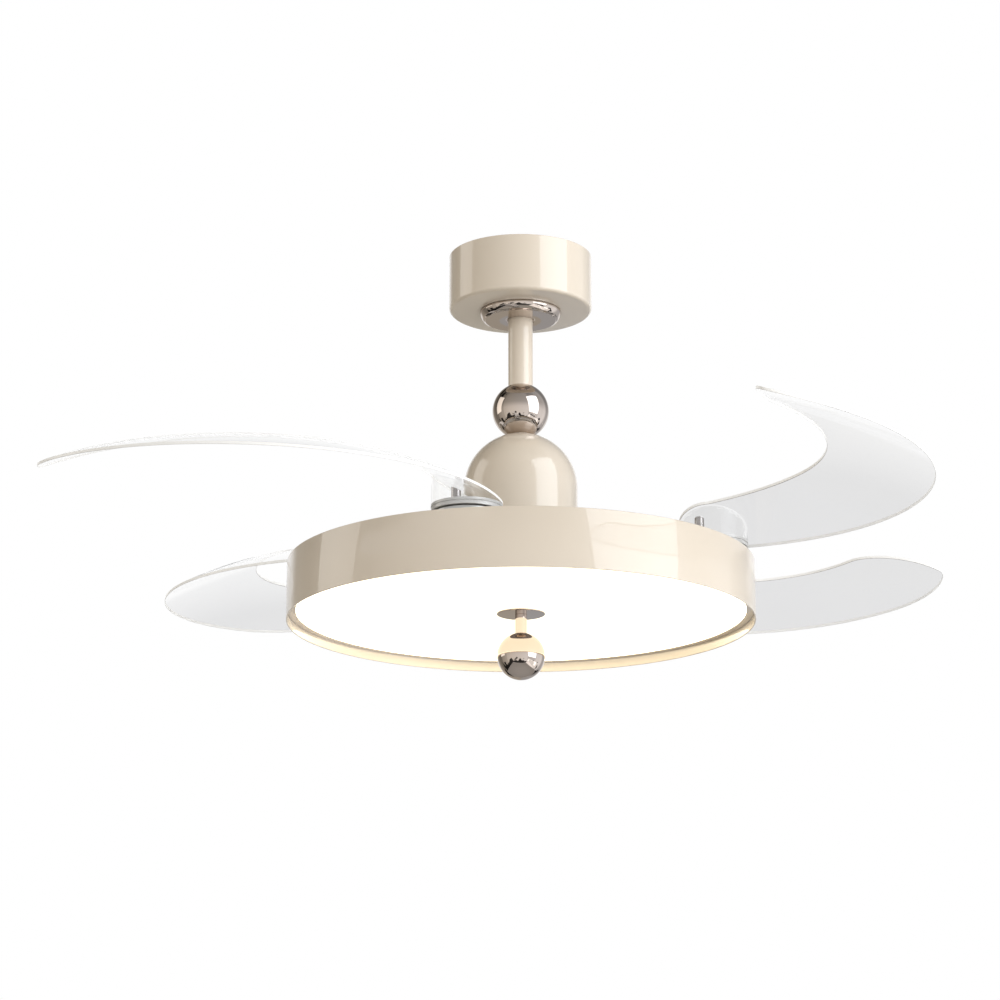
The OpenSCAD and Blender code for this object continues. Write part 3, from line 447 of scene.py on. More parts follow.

# Finishes of single pieces that differ from the rest of their slot
# Painted shade: a dark brown ring stands in for the shadow line where the collar meets the canopy.
PAINTED_SHADOW_RING = plain("painted_shadow_ring", (0.10, 0.075, 0.05), 0.5, vary=0.1, grain=0.2)
HUB = plain("hub_grey", (0.60, 0.59, 0.57), 0.32, metal=0.2, vary=0.04, grain=0.15)
POST = plain("polished_post", (0.34, 0.32, 0.31), 0.22, metal=1.0, vary=0.05, grain=0.05)
CLEAR_WALL = clear("clear_wall", (0.97, 0.97, 0.965), 0.03, 1.004)
# Painted light: the pale rim glows as if lit by the light running in the sheet, though it is no lamp.
EDGE = rim("clear_rim_painted_glow", (0.86, 0.84, 0.80), 0.18)
# Painted shade: a dark line on the lower rounding stands in for the darkness that refraction gives the
# sheet's edges.
PAINTED_RIM_SHADE = rim("rim_painted_shade", (0.40, 0.375, 0.35), 0.0, 0.75)

BODY_OF = {node: body for body, nodes in frame["record"]["behaviour"]["bodies"].items() for node in nodes}
SLOT_OF = {part["node"]: part["material_slot"] for part in frame["record"]["subparts"]}
STILL = "ceiling_and_lamp"


def finish(ob, look):
    ob.data.materials.clear()
    ob.data.materials.append(look)


for node, slot in SLOT_OF.items():
    finish(frame["nodes"][node], LOOKS[slot])


def dress(ob, body, slot, look=None):
    """Gives a piece its finish and its body."""
    finish(ob, look or LOOKS[slot])
    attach(ob, body)


def put(node, *pieces, look=None):
    """Dresses pieces and puts them in place of a CAD node."""
    for ob in pieces:
        dress(ob, BODY_OF[node], SLOT_OF[node], look)
    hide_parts(node)


# Plain solids, and how much their edges are rounded in metres
EASED = {"ceiling_bar": 0.0006, "rubber_pad": 0.0009, "terminal_block": 0.0006, "dome_bracket": 0.0004,
         "coupling": 0.0006, "led_board": 0.0002, "led_driver": 0.0015, "finial_bridge": 0.0005,
         "stator_core": 0.0003, "motor_magnets": 0.0004, "rotor_plate": 0.0006, "sync_ring": 0.0004}
EASED.update((f"gear_{k}", 0.0004) for k in range(1, 5))
for node, width in EASED.items():
    put(node, soften(copied(frame["nodes"][node], node + "_eased"), width))

# ---------------- canopy, rod and trim

CANOPY_LOW = CEILING - 62.5    # underside of the canopy, mm above the rim
COLLAR_SCREW = CANOPY_LOW - 5  # height of the collar's set screw
ROD_R = 13.5                   # outer radius of the downrod, mm


def canopy():
    """Drawn cup of thin sheet with a rounded foot and a rolled upper edge."""
    r, sheet, bend = 78, 1.2, 4
    put("canopy", lathe("canopy_shell", (
        arc(r - bend, CANOPY_LOW + bend, bend, 0, -90, 10)
        + [(ROD_R + 0.05, CANOPY_LOW), (ROD_R + 0.05, CANOPY_LOW + sheet)]
        + arc(r - bend, CANOPY_LOW + bend, bend - sheet, -90, 0, 8)
        + [(r - sheet, CEILING - 0.4), (r - 0.9, CEILING - 0.05), (r - 0.3, CEILING - 0.05),
           (r, CEILING - 0.4)])))


def canopy_collar():
    """Cupped chrome ring under the canopy, with the hole of its set screw at the back, and a thin dark ring
    of painted shadow on its top edge.
    """
    bore = ROD_R + 0.1
    ring = lathe("collar_ring", (
        [(bore, CANOPY_LOW), (44.1, CANOPY_LOW)] + arc(43.4, CANOPY_LOW - 1.1, 1.1, 70, -10, 5)
        + arc(31.8, CANOPY_LOW + 0.9, 13.2, -14, -49, 9) + arc(38.0, CANOPY_LOW - 9.4, 0.8, -25, -90, 4)
        + [(17.5, CANOPY_LOW - 10.2), (16.8, CANOPY_LOW - 9.7), (bore, CANOPY_LOW - 9.7)]))
    hole = turned("screw_hole", [(CORE, 30), (3.2, 30), (3.2, 48), (CORE, 48)])
    hole.data.transform(turn(-90, "X"))
    combine(ring, shift(hole, z=up(COLLAR_SCREW)), "DIFFERENCE")
    settle_normals(ring)
    put("canopy_collar", ring)
    # A thin dark ring, not in the CAD, paints the shadow line where the collar meets the canopy.
    shadow_ring = lathe("collar_shadow_ring", [
        (42.6, CANOPY_LOW), (44.25, CANOPY_LOW), (44.4, CANOPY_LOW - 0.2), (44.25, CANOPY_LOW - 0.45),
        (42.6, CANOPY_LOW - 0.45)])
    dress(shadow_ring, STILL, "rubber", PAINTED_SHADOW_RING)


def dome():
    """Thin bell over the upper end of the motor shaft."""
    r, sheet, centre = 61.4, 1.5, 147.9
    put("dome_cover", lathe("dome_shell", (
        [(r, 100.3)] + arc(0, centre, r, 0, 77.2, 40) + arc(0, centre, r - sheet, 76.9, 0, 30)
        + [(r - sheet, 100.3), (r - 1.2, 100.02), (r - 0.3, 100.02)])))


def balls():
    """Hollow ball on the rod, and the ball of the finial with its blind hole."""
    r, centre = 30.7, 235.7
    bore = ROD_R + 0.1
    outer = 90 - math.degrees(math.asin(bore / r))
    inner = 90 - math.degrees(math.asin(bore / (r - 1.5)))
    shell = arc(0, centre, r, -outer, outer, 64) + arc(0, centre, r - 1.5, inner, -inner, 24)
    put("upper_ball", lathe("upper_ball_shell", shell, 128))
    low_r, low_centre = 25.6, -36
    round_part = [(max(r, 0.0), h) for r, h in arc(0, low_centre, low_r, -90, 90, 64)]
    hole = [(6.3, -12.0), (4.1, -12.4), (4.1, -43), (0, -43)]
    put("finial_ball", lathe("finial_ball_body", round_part[:-5] + hole, 128))


def downrod():
    low, foot, head = 163.0, CEILING - 11.0, CEILING - 6.0
    put("downrod", lathe("rod_tube", [
        (11.0, low), (13.2, low), (ROD_R, low + 0.3), (ROD_R, foot - 0.6), (14.1, foot), (39.6, foot),
        (40.0, foot + 0.4), (40.0, head - 0.4), (39.6, head), (11.0, head)], 160))


canopy()
canopy_collar()
dome()
balls()
downrod()

# ---------------- drum


def bent_tab(angle):
    """Bent sheet bracket that is welded to the drum's inner face and carries the lamp chassis."""
    inner, outer, wide, top, drop, sheet = 236.0, 248.9, 16.0, 42.0, 12.0, 2.0
    side = [(inner, top), (inner, top - sheet), (outer - sheet - 1.5, top - sheet),
            (outer - sheet, top - sheet - 1.5), (outer - sheet, top - drop),
            (outer, top - drop), (outer, top - 1), (outer - 1, top)]
    verts = [(r / 1000, y / 1000, up(h)) for y in (-wide / 2, wide / 2) for r, h in side]
    n = len(side)
    faces = [list(range(n)), list(reversed(range(n, 2 * n)))]
    faces += [(i, n + i, n + (i + 1) % n, (i + 1) % n) for i in range(n)]
    ob = add_mesh("chassis_tab", verts, faces, False)
    tidy_normals(ob)
    ob.data.transform(turn(angle))
    return ob


def drum():
    """Rolled wall with round rims, and the six tabs inside it."""
    rim_r, edge = 249.25, 0.75
    section = arc(rim_r, edge, edge, 180, 360, 8) + arc(rim_r, 62.5 - edge, edge, 0, 180, 8)
    put("drum_shell", lathe("drum_wall", section, 360), *(bent_tab(60 * k) for k in range(6)))


drum()

# ---------------- ceiling end


def hanger_bolts():
    bolt = hexagon("hanger_bolts_hex", 5.77, 0, 4)
    shank = turned("shank", [(CORE, 3.9)] + thread(3.0, 4.0, 14.6, 1.0) + [(2.3, 15), (CORE, 15)], 32)
    combine(bolt, shank, "UNION")
    bolts = repeat("hanger_bolts_set", bolt, ring_of(4, 30, CEILING - 15, 45))
    sharpen(bolts, 25)
    put("hanger_bolts", bolts)


def receiver_box():
    """Two-part plastic case with a dark joint and a ribbed cap."""
    low = CANOPY_LOW + 1.2
    lower_case = block("receiver_lower", (-38, -62, low), (38, -28, low + 14), 0.0016)
    upper_case = block("receiver_upper", (-38, -62, low + 14.5), (38, -28, low + 24), 0.0016)
    joint = block("receiver_joint", (-37, -61, low + 12), (37, -29, low + 16), 0.0004)
    cap = block("receiver_cap", (-30, -52, low + 23.5), (-10, -38, low + 28.6), 0.0012)
    ribs = [block("receiver_rib", (-28 + 4 * i, -51, low + 28), (-26 + 4 * i, -39, low + 29), 0.0004)
            for i in range(5)]
    put("receiver_box", lower_case, upper_case, cap, *ribs)
    dress(joint, STILL, "rubber")


def terminal_screws():
    screw = cross_screw("terminal_screws", 1.2, 5, 1.9, 1.2)
    places = [move(x / 1000, 0.043, up(CANOPY_LOW + 8.2)) for x in (-12, 0, 12)]
    dress(repeat("terminal_screw_set", screw, places), STILL, "steel")


def loom_route():
    """Middle line of the loom in metres, from the receiver box through the downrod to the driver."""
    points = [(0, -45, -37.3), (0, -45, -33), (0, -43, -28), (0, -38, -24.6), (0, -30, -24), (0, -18, -24),
              (0, -10, -24.6), (0, -4, -27.5), (0, -0.8, -33), (0, 0, -40), (0, 0, -130), (0, 0, -220),
              (0, 0, -300), (0, 0, -370), (0.6, 0, -376), (3, 0, -380.2), (8, 0, -382), (20, 0, -382),
              (42, 0, -382)]
    fine = []
    for a, b in zip(points, points[1:]):
        steps = max(int(math.dist(a, b) / 2), 1)
        fine += [Vector(a).lerp(Vector(b), i / steps) / 1000 for i in range(steps)]
    return fine + [Vector(points[-1]) / 1000]


def wire_loom():
    """Three wires twisted round one another along the route."""
    route = loom_route()
    wires = []
    for k in range(3):
        path = []
        last = Vector((1, 0, 0))
        for i, point in enumerate(route):
            along = (route[min(i + 1, len(route) - 1)] - route[max(i - 1, 0)]).normalized()
            last = (last - along * last.dot(along)).normalized()
            a = math.tau * (k / 3 + i / 12)
            path.append(point + 0.0015 * (math.cos(a) * last + math.sin(a) * along.cross(last)))
        wires.append(tube_mesh(f"loom_wire_{k + 1}", path, 0.00135))
    put("wire_loom", *wires)


hanger_bolts()
receiver_box()
terminal_screws()
wire_loom()

# ---------------- screws and coupling on the rod


def sideways(count, radius, height, first):
    """Places round the axis for pieces that point outwards."""
    return [place @ turn(90, "Y") for place in ring_of(count, radius, height, first)]


def grub(name, r, length):
    """Headless screw with a six-sided socket in its outer end."""
    ob = turned(name, [(CORE, 0), (r * 0.8, 0)] + thread(r, 0.4, length - 0.4, 0.8)
                + [(r * 0.8, length), (CORE, length)], 32)
    combine(ob, hexagon("socket", r * 0.55, length - 2, length + 1), "DIFFERENCE")
    return ob


def set_screws():
    """The collar's long screw, and the pairs that clamp the rod and the motor shaft."""
    sizes = (("collar_screw", 23.9, sideways(1, ROD_R, COLLAR_SCREW, 90)),
             ("rod_set_screws", 8.9, sideways(2, ROD_R, 178, 0)),
             ("shaft_set_screws", 11.9, sideways(2, 10, 150, 90)))
    sets = [repeat(name, grub("grub", 3, length), places) for name, length, places in sizes]
    put("set_screws", *sets)


def small_screws():
    dome_set = repeat("dome_screws", cross_screw("s", 1.5, 5, 3, 1.6), sideways(3, 56.4, 103.5, 30))
    tab_set = repeat("tab_screws", cross_screw("s", 1.5, 5.5, 3, 2), ring_of(6, 241, 38))
    put("small_screws", dome_set, tab_set)


def lock_nuts():
    """Three nuts and a spacer on the motor shaft, and the nut of the finial rod."""
    nut = hexagon("nut", 16, 0, 7, ON_SHAFT)
    nuts = repeat("lock_nut_set", nut, [move(0, 0, up(h)) for h in (35, 108, 99)])
    spacer = lathe("bearing_spacer", [
        (ON_SHAFT, 93), (12.9, 93), (13.2, 93.3), (13.2, 99.2), (ON_SHAFT, 99.2)], 64)
    rod_nut = shift(hexagon("finial_nut", 7.5, 0, 4, ON_ROD), z=up(20))
    put("lock_nuts", nuts, spacer, rod_nut)


def motor_shaft():
    """Hollow shaft with a flange for the lamp and a thread on each side of the motor."""
    bore, r, flange_r = 6.5, 10, 40
    flange = [(r, 43.5), (flange_r - 0.5, 43.5), (flange_r, 44), (flange_r, 47), (flange_r - 0.5, 47.5),
              (13.2, 47.5), (13.2, 51), (r, 51)]
    profile = ([(bore, 33), (r - 0.5, 33), (r, 33.5)] + thread(r, 34.5, 42, 1.2) + flange + [(r, 98)]
               + thread(r, 98.5, 117, 1.2) + [(r, 118), (r, 160.4), (r - 0.6, 161), (bore, 161)])
    put("motor_shaft", lathe("motor_shaft_turned", profile, 96))


set_screws()
small_screws()
lock_nuts()
motor_shaft()

# ---------------- lamp


def diffuser():
    sheet = ([(ON_ROD, 10.5)] + arc(238.6, 11.5, 1.0, -90, 0, 5) + arc(238.6, 12.5, 1.0, 0, 90, 4)
             + [(ON_ROD, 13.5)])
    put("diffuser", lathe("diffuser_sheet", sheet, 256))


def diffuser_ring():
    """Inner ring of angle section, which holds the diffuser in the drum."""
    section = ([(239.9, 10.5), (248.1, 10.5)] + arc(248.1, 10.9, 0.35, -90, 0, 3)
               + arc(247.7, 14.3, 0.7, 0, 90, 4) + arc(233.0, 14.1, 0.9, 90, 180, 4)
               + [(232.1, 13.5), (239.9, 13.5)])
    put("diffuser_ring", lathe("diffuser_ring_section", section, 256))


def finial_trim():
    """Dished rose, the stem below it and the threaded rod inside them."""
    rose = ([(ON_ROD, 10.5), (25.9, 10.5)] + arc(25.3, 9.9, 0.6, 0, -70, 5)
            + arc(24.2, 10.2, 1.2, -80, -90, 2) + [(ON_ROD, 9.0)])
    put("finial_rose", lathe("rose_disc", rose, 128))
    stem = [(ON_ROD, 9.0), (6.15, 9.0), (6.35, 8.8), (6.35, -12.4), (ON_ROD, -12.4)]
    put("finial_stem", lathe("stem_tube", stem, 96))
    rod = [(CORE, -44), (3.4, -44)] + thread(4.0, -43.5, 24.5, 1.25) + [(3.4, 25), (CORE, 25)]
    put("finial_rod", lathe("finial_rod_thread", rod, 48))


def chassis():
    """Pressed sheet with three round beads, and raised ribs between them."""
    low, high, r = 42.0, 43.5, 248.4

    def bead(middle):
        lift = ((2.4, 0), (1.2, 0.4), (0, 0.9), (-1.2, 0.4), (-2.4, 0))
        return [(middle + out, high + rise) for out, rise in lift]

    profile = ([(ON_SHAFT, low), (r - 0.2, low), (r, low + 0.2), (r, high - 0.2), (r - 0.2, high)]
               + bead(230) + bead(190) + bead(100) + [(ON_SHAFT, high)])
    sheet = lathe("chassis_sheet", profile, 256)
    rib = shift(block("rib", (-30, -3, 0), (30, 3, 2), 0.0009))
    ribs = repeat("chassis_ribs", rib, ring_of(12, 145, 42.4, 15))
    put("lamp_chassis", sheet, ribs)


def led_chips():
    """Two circles of chips with a pale body and a yellow lens of phosphor."""
    body = shift(block("body", (-2.5, -2.5, 0), (2.5, 2.5, 0.7), 0.0002))
    lens = turned("lens", [(CORE, 0.2), (1.9, 0.2), (1.75, 0.05), (1.2, 0.0), (CORE, 0.0)], 20)
    places = ring_of(20, 130.5, 39.4) + ring_of(32, 200.5, 39.4)
    above = [place @ move(0, 0, 0.0003) for place in places]
    put("led_chips", repeat("chip_bodies", body, above), look=LOOKS["white_plastic"])
    dress(repeat("chip_lenses", lens, places), STILL, "phosphor")


diffuser()
diffuser_ring()
finial_trim()
chassis()
led_chips()

# ---------------- motor


def windings():
    """Two layers of enamelled wire on each of the stator's teeth."""
    turns, points, teeth = 13, 24, 12
    layers = []
    for name, extra in (("coil_inner", 0.0), ("coil_outer", 1.4)):
        path = []
        for i in range(turns * points + 1):
            a = math.tau * i / points
            side = max(-1, min(1, 1.35 * math.cos(a)))
            rise = max(-1, min(1, 1.35 * math.sin(a)))
            path.append(((38.0 + 19.0 * i / (turns * points)) / 1000, (5.35 + extra) / 1000 * side,
                         up(72 + (8.2 + extra) * rise)))
        places = [turn(360 / teeth * k) for k in range(teeth)]
        layers.append(repeat(name, tube_mesh("coil", path, 0.0007, 6), places))
    put("motor_windings", *layers)


def bearings():
    """Inner and outer rings of the two ball bearings."""
    wide = 12
    inner, outer = [], []
    for k, low in enumerate((51, 81)):
        high = low + wide
        groove = arc(14.6, low + 6, 2.2, 215, 145, 6)
        inner.append(lathe(f"bearing_inner_{k}", (
            [(ON_SHAFT, low + 0.4), (10.4, low), (12.9, low), (13.2, low + 0.3)] + groove
            + [(13.2, high - 0.3), (12.9, high), (10.4, high)]), 96))
        outer.append(lathe(f"bearing_outer_{k}", (
            (17.8, low + 0.3), (18.1, low), (20.6, low), (21, low + 0.4), (21, high - 0.4), (20.6, high),
            (18.1, high), (17.8, high - 0.3)), 96))
    put("bearing_inner_rings", *inner)
    put("bearing_outer_rings", *outer)


def upper_cover():
    """Cast bell with a flange, fins, ribs and the seat of the upper bearing."""
    profile = ([(72, 62), (76.9, 62), (76.9, 67), (91.4, 67), (92, 67.6), (92, 70.2), (91.2, 71)]
               + arc(78.0, 73.0, 2.0, -90, -180, 5) + arc(72.7, 90.2, 3.3, 0, 90, 8)
               + arc(29.0, 95.0, 1.5, -90, -180, 4)
               + [(27.0, 95), (15.6, 95), (15, 94.4), (15, 93.5), (15, 91), (72, 91)])
    casting = lathe("upper_cover_casting", profile, 160)
    seat = lathe("upper_seat", [(21.05, 81), (27, 81), (27, 92), (21.05, 92)], 96)
    fin = shift(block("fin", (-1.6, -1.1, 0), (1.3, 1.1, 21), 0.0005))
    rib = shift(block("rib", (-21, -1.3, 0), (21, 1.3, 2.1), 0.0006))
    put("motor_upper_cover", casting, repeat("upper_fins", fin, ring_of(36, 75.6, 71.0, 5)),
        repeat("upper_ribs", rib, ring_of(16, 50, 92.9)), seat)


def lower_cover():
    profile = ([(72, 62), (92, 62), (92, 58.1), (91.4, 57.5)] + arc(78.0, 56.0, 1.5, 90, 180, 4)
               + arc(73.5, 52.0, 3.0, 0, -90, 8)
               + [(15.6, 49), (15, 49.6), (15, 51), (21.05, 51), (21.05, 62), (27, 62), (27, 53), (72, 53)])
    put("motor_lower_cover", lathe("lower_cover_casting", profile, 160))


windings()
bearings()
upper_cover()
lower_cover()

# ---------------- blade carrier


def arm_places(radius, height):
    return ring_of(4, radius, height, FIRST_PIVOT)


def rotor_screws():
    motor_set = repeat("motor_screws", cross_screw("s", 2.5, 13.5, 4.5, 3.5), ring_of(8, 85, 57.5))
    guide_set = repeat("guide_screws", cross_screw("s", 2.0, 17, 4, 2.5), arm_places(151, 50))
    put("rotor_screws", motor_set, guide_set)


def pivot_bushes():
    bush = turned("bush", [(6.05, 0.4), (6.4, 0), (7.6, 0), (8, 0.4), (8, 6.4), (21.2, 6.4), (21.5, 6.6),
                           (21.5, 6.9), (21.2, 7.1), (6.4, 7.1), (6.05, 6.7)], 96)
    put("pivot_bushes", repeat("bush_set", bush, arm_places(210, 60.6)))


def return_springs():
    """Flat strip wound in a spiral of five turns, one round each pivot."""
    turns, steps, strip, high = 5, 48, 0.55, 4.2
    first_r, last_r = 8.6, 15.0
    total = turns * steps
    verts, faces = [], []
    for i in range(total + 1):
        r = first_r + (last_r - first_r) * i / total
        for radius in (r - strip / 2, r + strip / 2):
            verts += [(*polar(radius / 1000, 360 * i / steps), h / 1000) for h in (0, high)]
    for a in range(0, 4 * total, 4):
        b = a + 4
        faces += [(a, a + 1, b + 1, b), (a + 2, b + 2, b + 3, a + 3), (a + 1, a + 3, b + 3, b + 1),
                  (a, b, b + 2, a + 2)]
    faces += [(0, 2, 3, 1), (4 * total, 4 * total + 1, 4 * total + 3, 4 * total + 2)]
    spring = add_mesh("spring", verts, faces)
    tidy_normals(spring)
    sharpen(spring, 40)
    put("return_springs", repeat("spring_set", spring, arm_places(210, 67.95)))


def ring_guides():
    """Grooved rollers that hold the synchronising ring."""
    guide = turned("guide", (
        [(2.05, 0.2), (11.7, 0.2), (12, 0.5), (12, 1.7), (11.6, 2)] + arc(9.3, 2.6, 0.6, -90, -180, 3)
        + [(8.7, 10.7), (9.0, 11.2), (11.6, 11.2), (12, 11.6), (12, 12.5), (2.05, 12.5)]), 64)
    put("ring_guides", repeat("guide_set", guide, arm_places(151, 49.4)))


rotor_screws()
pivot_bushes()
return_springs()
ring_guides()

# ---------------- blades

ROOT_R = 0.0365        # round root
REACH = PIVOT_R + ROOT_R
SWEEP = 153.5          # angle that the folded blade covers round the drum, degrees
WAIST_R = 0.140        # least distance of its inner edge from the axis
WAIST_AT = 100.0       # where that is, degrees
TIP_R = 0.226
OUTER_CORNER = 126.0   # where the two corners of the tip begin to round, degrees
INNER_CORNER = 134.0
BLADE_H = 75.4         # lower skin at the outer edge of the root
TIP_RISE = 27.5
RISE_POWER = 2.8
ROOT_SLOPE = 0.43
TIP_SLOPE = 0.305
CAMBER = 4.0
BLADE_T = 3.0
DISC_TOP = 75.2
RIM = 0.0003           # width of the rounding along the sheet's rims


def skin(x, y):
    """Height in mm of the folded blade's lower skin over a point in metres."""
    r = math.hypot(x, y)
    f = max(math.degrees(math.atan2(-y, x)), 0.0) / SWEEP
    s = (REACH - r) / (REACH - WAIST_R)
    slope = ROOT_SLOPE + (TIP_SLOPE - ROOT_SLOPE) * f
    return (BLADE_H + TIP_RISE * f ** RISE_POWER + slope * 1000 * (REACH - r)
            + 4 * CAMBER * s * (1 - s) * min(4 * f, 1))


def waist(phi):
    return WAIST_R + (PIVOT_R - ROOT_R - WAIST_R) * ((phi - WAIST_AT) / WAIST_AT) ** 2


def edge_point(phi, base, start):
    """Point of an edge that runs at base(phi) and closes on the tip in a quarter ellipse."""
    e = min(max((phi - start) / (SWEEP - start), 0.0), 1.0)
    r = base(phi) + (TIP_R - base(phi)) * (1 - math.sqrt(max(1 - e * e, 0.0)))
    return polar(r, -phi)


def edge_angles(start, straight, curved):
    flat = [start * i / straight for i in range(straight)]
    bend = [start + (SWEEP - start) * math.sin(math.pi / 2 * i / curved) for i in range(curved + 1)]
    return flat + bend


def on_root(angle, r):
    """Point in the plan at an angle and distance from the folded blade's pivot."""
    x, y = polar(r, angle)
    return PIVOT_R + x, y


def blade_outline():
    outer = [edge_point(a, lambda phi: REACH, OUTER_CORNER) for a in edge_angles(OUTER_CORNER, 130, 44)]
    inner = [edge_point(a, waist, INNER_CORNER) for a in edge_angles(INNER_CORNER, 100, 36)]
    root = [on_root(a, ROOT_R) for a in range(176, 0, -4)]
    return outer + inner[-2::-1] + root


def inset(loop, d):
    """Clockwise outline moved inwards by d."""
    n = len(loop)
    out = []
    for i in range(n):
        (ax, ay), (bx, by) = loop[i - 1], loop[(i + 1) % n]
        dx, dy = bx - ax, by - ay
        q = math.hypot(dx, dy)
        out.append((loop[i][0] + d * dy / q, loop[i][1] - d * dx / q))
    return out


def blade_plate():
    """Curved sheet with rounded rims: skins clear, the rim and its upper rounding pale with a painted glow,
    its lower rounding a painted dark line.
    """
    loop = inset(blade_outline(), 0.0001)
    n = len(loop)
    inner_loop = inset(loop, RIM)
    middle_loop = inset(loop, RIM / 4)
    angles = [-9.0 + (SWEEP + 9.0) * i / 99 for i in range(100)]
    radii = [WAIST_R + (REACH - WAIST_R) * j / 22 for j in range(1, 22)]
    grid = [polar(r, -phi) for phi in angles for r in radii]
    grid = [g for g in grid if inside(g, inner_loop) and gap(g, inner_loop) > 0.0016]
    pts = [Vector(v) for v in inner_loop + grid]
    flat, _, tris, orig, _, _ = delaunay_2d_cdt(pts, [(i, (i + 1) % n) for i in range(n)], [], 1, 1e-7)
    place = {old: new for new, olds in enumerate(orig) for old in olds}
    m = len(flat)
    verts = [(x, y, up(skin(x, y) + lift)) for lift in (0, BLADE_T) for x, y in flat]
    rows = []
    edge = RIM * 1000
    for loop_k, lift in ((middle_loop, edge / 4), (loop, edge), (loop, BLADE_T - edge),
                         (middle_loop, BLADE_T - edge / 4)):
        rows.append(len(verts))
        verts += [(x, y, up(skin(x, y) + lift)) for x, y in loop_k]
    faces = [tuple(t) for t in tris] + [tuple(m + v for v in reversed(t)) for t in tris]
    marks = [0] * len(faces)
    chain = [[place[i] for i in range(n)]] + [[r + i for i in range(n)] for r in rows]
    chain.append([m + place[i] for i in range(n)])
    # Marks: 2 for the lower rounding's painted dark line, 1 for the rim and upper rounding with their
    # painted glow.
    for a, b, mark in zip(chain, chain[1:], (2, 2, 1, 1, 1)):
        faces += [(a[i], a[(i + 1) % n], b[(i + 1) % n], b[i]) for i in range(n)]
        marks += [mark] * n
    ob = add_mesh("blade_plate", verts, faces)
    for poly, mark in zip(ob.data.polygons, marks):
        poly.material_index = mark
    return ob


def inside(p, loop):
    odd = False
    for (ax, ay), (bx, by) in zip(loop, loop[1:] + loop[:1]):
        if (ay > p[1]) != (by > p[1]) and p[0] < (bx - ax) * (p[1] - ay) / (by - ay) + ax:
            odd = not odd
    return odd


def gap(p, loop):
    return min(math.dist(p, q) for q in loop)


def column(name, centre, radii, low, top, count, mark=0):
    """Upright post, or a tube where two radii are given, up to the height top(x, y) in mm."""
    verts, faces = [], []
    for r in radii:
        for i in range(count):
            a = math.tau * i / count
            x, y = centre[0] + r * math.cos(a), centre[1] + r * math.sin(a)
            verts += [(x, y, up(low)), (x, y, up(top(x, y)))]
    for i in range(count):
        a, b = 2 * i, 2 * ((i + 1) % count)
        faces.append((a, b, b + 1, a + 1))
        if len(radii) > 1:
            k = 2 * count
            faces += [(k + b, k + a, k + a + 1, k + b + 1), (a, k + a, k + b, b),
                      (a + 1, b + 1, k + b + 1, k + a + 1)]
    if len(radii) == 1:
        faces.append([2 * i for i in reversed(range(count))])
        faces.append([2 * i + 1 for i in range(count)])
    ob = add_mesh(name, verts, faces)
    for poly in ob.data.polygons:
        poly.material_index = mark
    return ob


def unfolded(k):
    """Matrix from the folded first blade to the open blade k."""
    return turn(FIRST_PIVOT + 90 * (k - 1)) @ move(PIVOT_R, 0, 0) @ turn(FOLD) @ move(-PIVOT_R, 0, 0)


def on_blades(base, name, node=None):
    """Sets a finished piece of the folded first blade on all four blades, and removes the first one."""
    for k in range(1, 5):
        ob = copied(base, f"{name}_{k}", unfolded(k))
        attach(ob, f"blade_{k}")
        if node:
            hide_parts(f"{node}_{k}")
    bpy.data.objects.remove(base)


# Angles of the two screws in the round root, and their distance from the pivot
SCREWS_AT, SCREWS_OUT = (20, 140), 0.0305


def blades():
    """Clear sheets, each with the clear wall of its root and two low bosses under the screws."""
    blade = blade_plate()
    for look in (LOOKS["clear"], EDGE, PAINTED_RIM_SHADE, CLEAR_WALL):
        blade.data.materials.append(look)
    wall = column("root_wall", (PIVOT_R, 0), (0.0359, 0.0334), DISC_TOP, lambda x, y: skin(x, y) + 1.2,
                  96, 3)
    bosses = [column("boss", on_root(a, SCREWS_OUT), (0.0035,), DISC_TOP, lambda x, y: DISC_TOP + 3, 24, 3)
              for a in SCREWS_AT]
    for piece in (wall, *bosses):
        combine(blade, piece, "UNION")
    tidy_normals(blade)
    sharpen(blade, 38)
    settle_normals(blade)
    on_blades(blade, "blade_sheet", "blade")


def hubs():
    """Turned hub with its spindle and two discs, the lug that stops it, and the bright post on top."""
    hub = lathe("hub", [
        (CORE, 46.4), (3.6, 46.4), (4, 46.8), (4, 52), (5.6, 52), (6, 52.4), (6, 68.6), (7, 69.0), (7, 73),
        (16.5, 73), (16.5, 68.4), (16.9, 68), (35.9, 68), (36.25, 68.35), (36.25, 71.3), (35.7, 71.6),
        (35.7, 72.1), (36.5, 72.4), (36.5, 74.6), (36.35, 75.05), (35.9, DISC_TOP), (CORE, DISC_TOP)],
        160, (PIVOT_R, 0))
    lug = lathe("lug", [(CORE, 62.7), (1.5, 62.7), (1.8, 63.0), (1.8, 68.5), (CORE, 68.5)], 32,
                on_root(-FOLD / 2, 0.024))
    post = column("post", on_root(138, 0.0188), (0.005,), DISC_TOP - 0.3, lambda x, y: skin(x, y) - 0.25, 40)
    tidy_normals(post)
    sharpen(post)
    for base, name, look, node in ((hub, "hub_piece", HUB, "hub"), (lug, "lug_piece", HUB, None),
                                   (post, "post_piece", POST, None)):
        base.data.materials.append(look)
        on_blades(base, name, node)


def fixings():
    """Nut on the spindle's foot and two screws that hold the clear root."""
    nut = shift(hexagon("foot_nut", 7.5, 0, 4.2, 4.05), x=PIVOT_R, z=up(47.25))
    screw = cross_screw("root_screw", 1.5, 6.6, 3.3, 2.4)
    screw.data.transform(turn(180, "X"))
    shift(screw, z=0.0091)
    for angle in SCREWS_AT:
        place = move(*on_root(angle, SCREWS_OUT), up(68.05))
        combine(nut, copied(screw, "screw", place), "UNION")
    bpy.data.objects.remove(screw)
    nut.data.materials.append(LOOKS["steel"])
    on_blades(nut, "fixing_set", "fixings")


blades()
hubs()
fixings()

# ---------------- stage, light and camera


